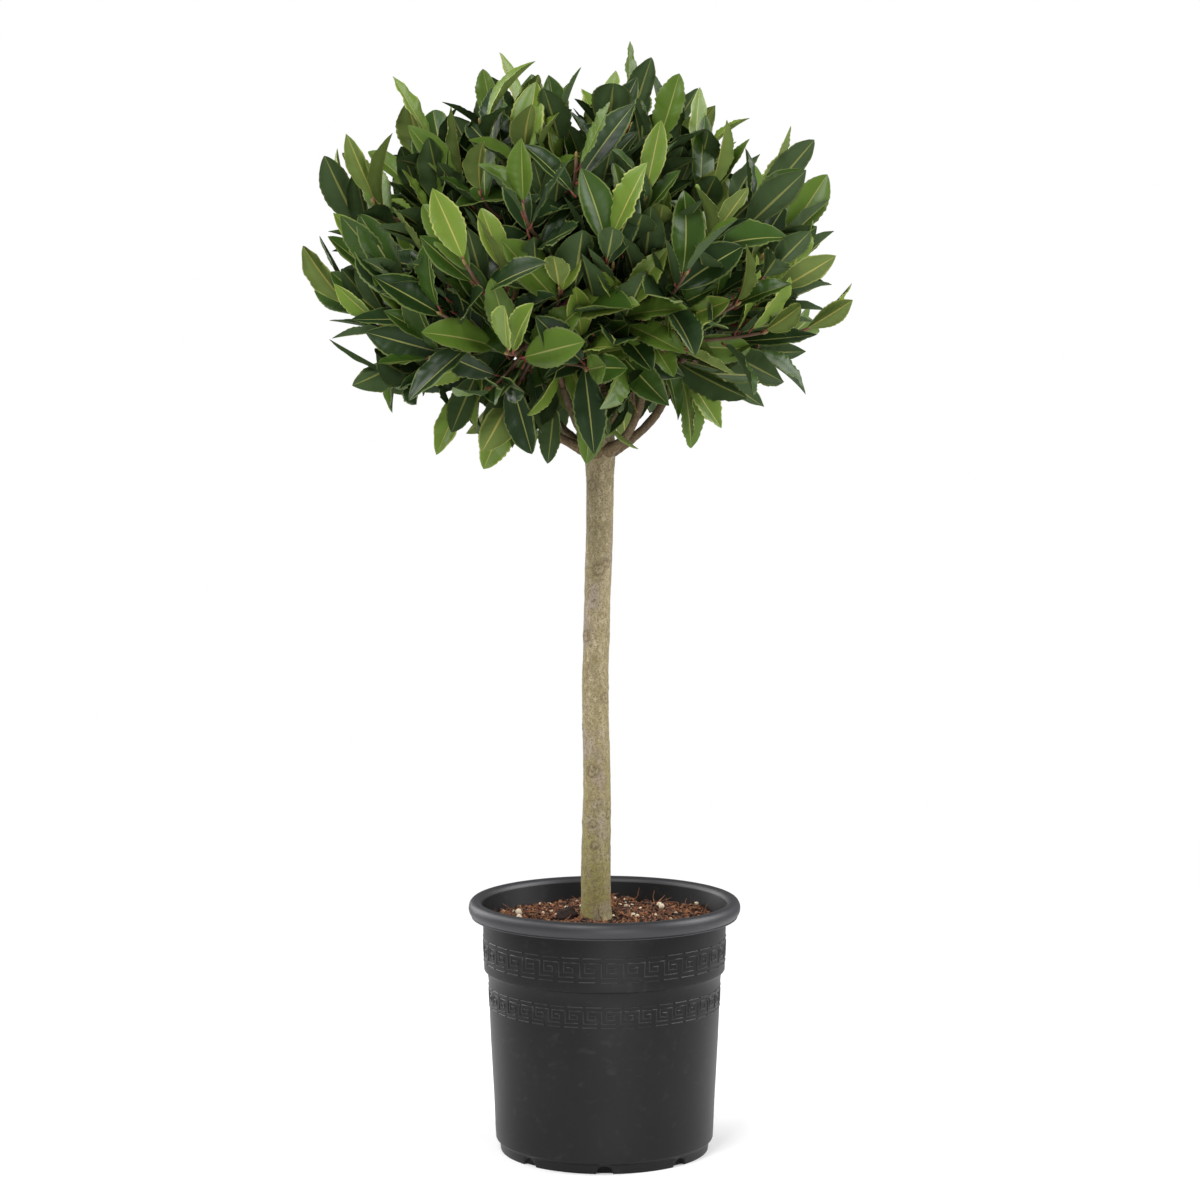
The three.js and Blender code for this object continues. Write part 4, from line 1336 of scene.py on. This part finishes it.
CHIP_COUNT, STRAND_COUNT, PERLITE_COUNT = 3600, 800, 130
CHIP_KINDS = (0.48, 0.22, 0.30)  # shares of dark, brown and red chips
STRAND_STEPS, STRAND_REACH = 6, 120.5  # how many steps a strand has, and how near the wall it may come
UPRIGHT_SHARE, UPRIGHT_CORNER = (0.03, 0.13), 85  # of the strands: anywhere, and far out on the right
CLOD_PLACE, CLOD_SIZE = np.array([-38, -7, 244.0]), np.array([11, 10, 9.0])  # a clump of roots and peat
BIG_GRAIN, BIG_GRAIN_SHARE = 1.65, 0.24
luck = np.random.default_rng(29)
chip_shape, chip_faces = block(2)
chips, strands = Batch(), Batch()
for _ in range(CHIP_COUNT):
    x, y, height = scatter(luck)
    size = np.array([luck.uniform(1.0, 4.0), luck.uniform(0.7, 2.0), luck.uniform(0.4, 1.3)])
    shape = chip_shape * size * luck.uniform(0.75, 1.25, (len(chip_shape), 1))
    turned = shape @ tumbled(luck)
    turned[:, 2] *= 0.75
    chips.add(turned + [x, y, height + 0.4], chip_faces, int(luck.choice(3, p=CHIP_KINDS)))
for _ in range(STRAND_COUNT):
    x, y, height = scatter(luck)
    stands = luck.random() < UPRIGHT_SHARE[math.hypot(x, y) > UPRIGHT_CORNER and x > 0]
    level, rise = luck.normal(size=2), luck.uniform(*((0.4, 1.6) if stands else (-0.1, 0.25)))
    way, length = unit(np.array([*level, rise])), luck.uniform(6, 20)
    line = [np.array([x, y, height + 0.3])]
    for _ in range(STRAND_STEPS):
        way = unit(way + luck.normal(size=3) * [0.35, 0.35, 0.12])
        step = line[-1] + way * length / STRAND_STEPS
        if math.hypot(step[0], step[1]) > STRAND_REACH:
            way = unit(np.array([-step[0], -step[1], 20.0]))
            step = line[-1] + way * length / STRAND_STEPS
        line.append(step)
    girth = np.linspace(luck.uniform(0.35, 0.85), 0.2, STRAND_STEPS + 1)
    strands.add(*swept(line, girth, 4), int(luck.integers(3)))
chip_materials = [
    principled("bark_chip_dark", (0.018, 0.007, 0.004), 0.9),
    principled("bark_chip_brown", (0.094, 0.034, 0.014), 0.9),
    principled("bark_chip_red", (0.300, 0.125, 0.054), 0.9),
]
strand_materials = [
    principled("coir_red", (0.170, 0.060, 0.025), 0.85),
    principled("coir_straw", (0.250, 0.105, 0.043), 0.85),
    principled("coir_dark", (0.036, 0.013, 0.007), 0.85),
]
clod_shape, clod_faces = block(12)
rough = 1 + 0.16 * value_noise(clod_shape, 0.45, 51) + 0.10 * value_noise(clod_shape, 0.2, 52)
chips.add(clod_shape * CLOD_SIZE * rough[:, None] + CLOD_PLACE, clod_faces, 0)
chips_piece = chips.piece("compost_chips", chip_materials, smooth=False)
strands_piece = strands.piece("coir_strands", strand_materials, smooth=False)

perlite_shape, perlite_faces = block(3)
perlite = Batch()
for _ in range(PERLITE_COUNT):
    x, y, height = scatter(luck)
    size = luck.uniform(1.0, 2.1) * (BIG_GRAIN if luck.random() < BIG_GRAIN_SHARE else 1)
    rough = 1 + 0.22 * value_noise(perlite_shape * 3 + luck.uniform(0, 99, 3), 1.6, 41)
    shape = (perlite_shape * rough[:, None] * size * luck.uniform(0.75, 1.2, 3)) @ tumbled(luck)
    perlite.add(shape + [x, y, height + size * 0.45], perlite_faces, int(luck.random() < 0.3))
perlite_materials = [
    principled("perlite_white", (0.62, 0.52, 0.38), 0.85),
    principled("perlite_stained", (0.34, 0.22, 0.12), 0.9),
]
perlite_piece = perlite.piece("perlite_grains", perlite_materials)
for piece in (chips_piece, strands_piece, perlite_piece):
    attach(piece, "root")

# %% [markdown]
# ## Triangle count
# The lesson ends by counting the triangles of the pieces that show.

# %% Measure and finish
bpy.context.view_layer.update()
triangles = sum(len(o.data.polygons) * 2 for o in scene.objects if o.type == "MESH" and not o.hide_render)
print("triangles shown:", triangles)
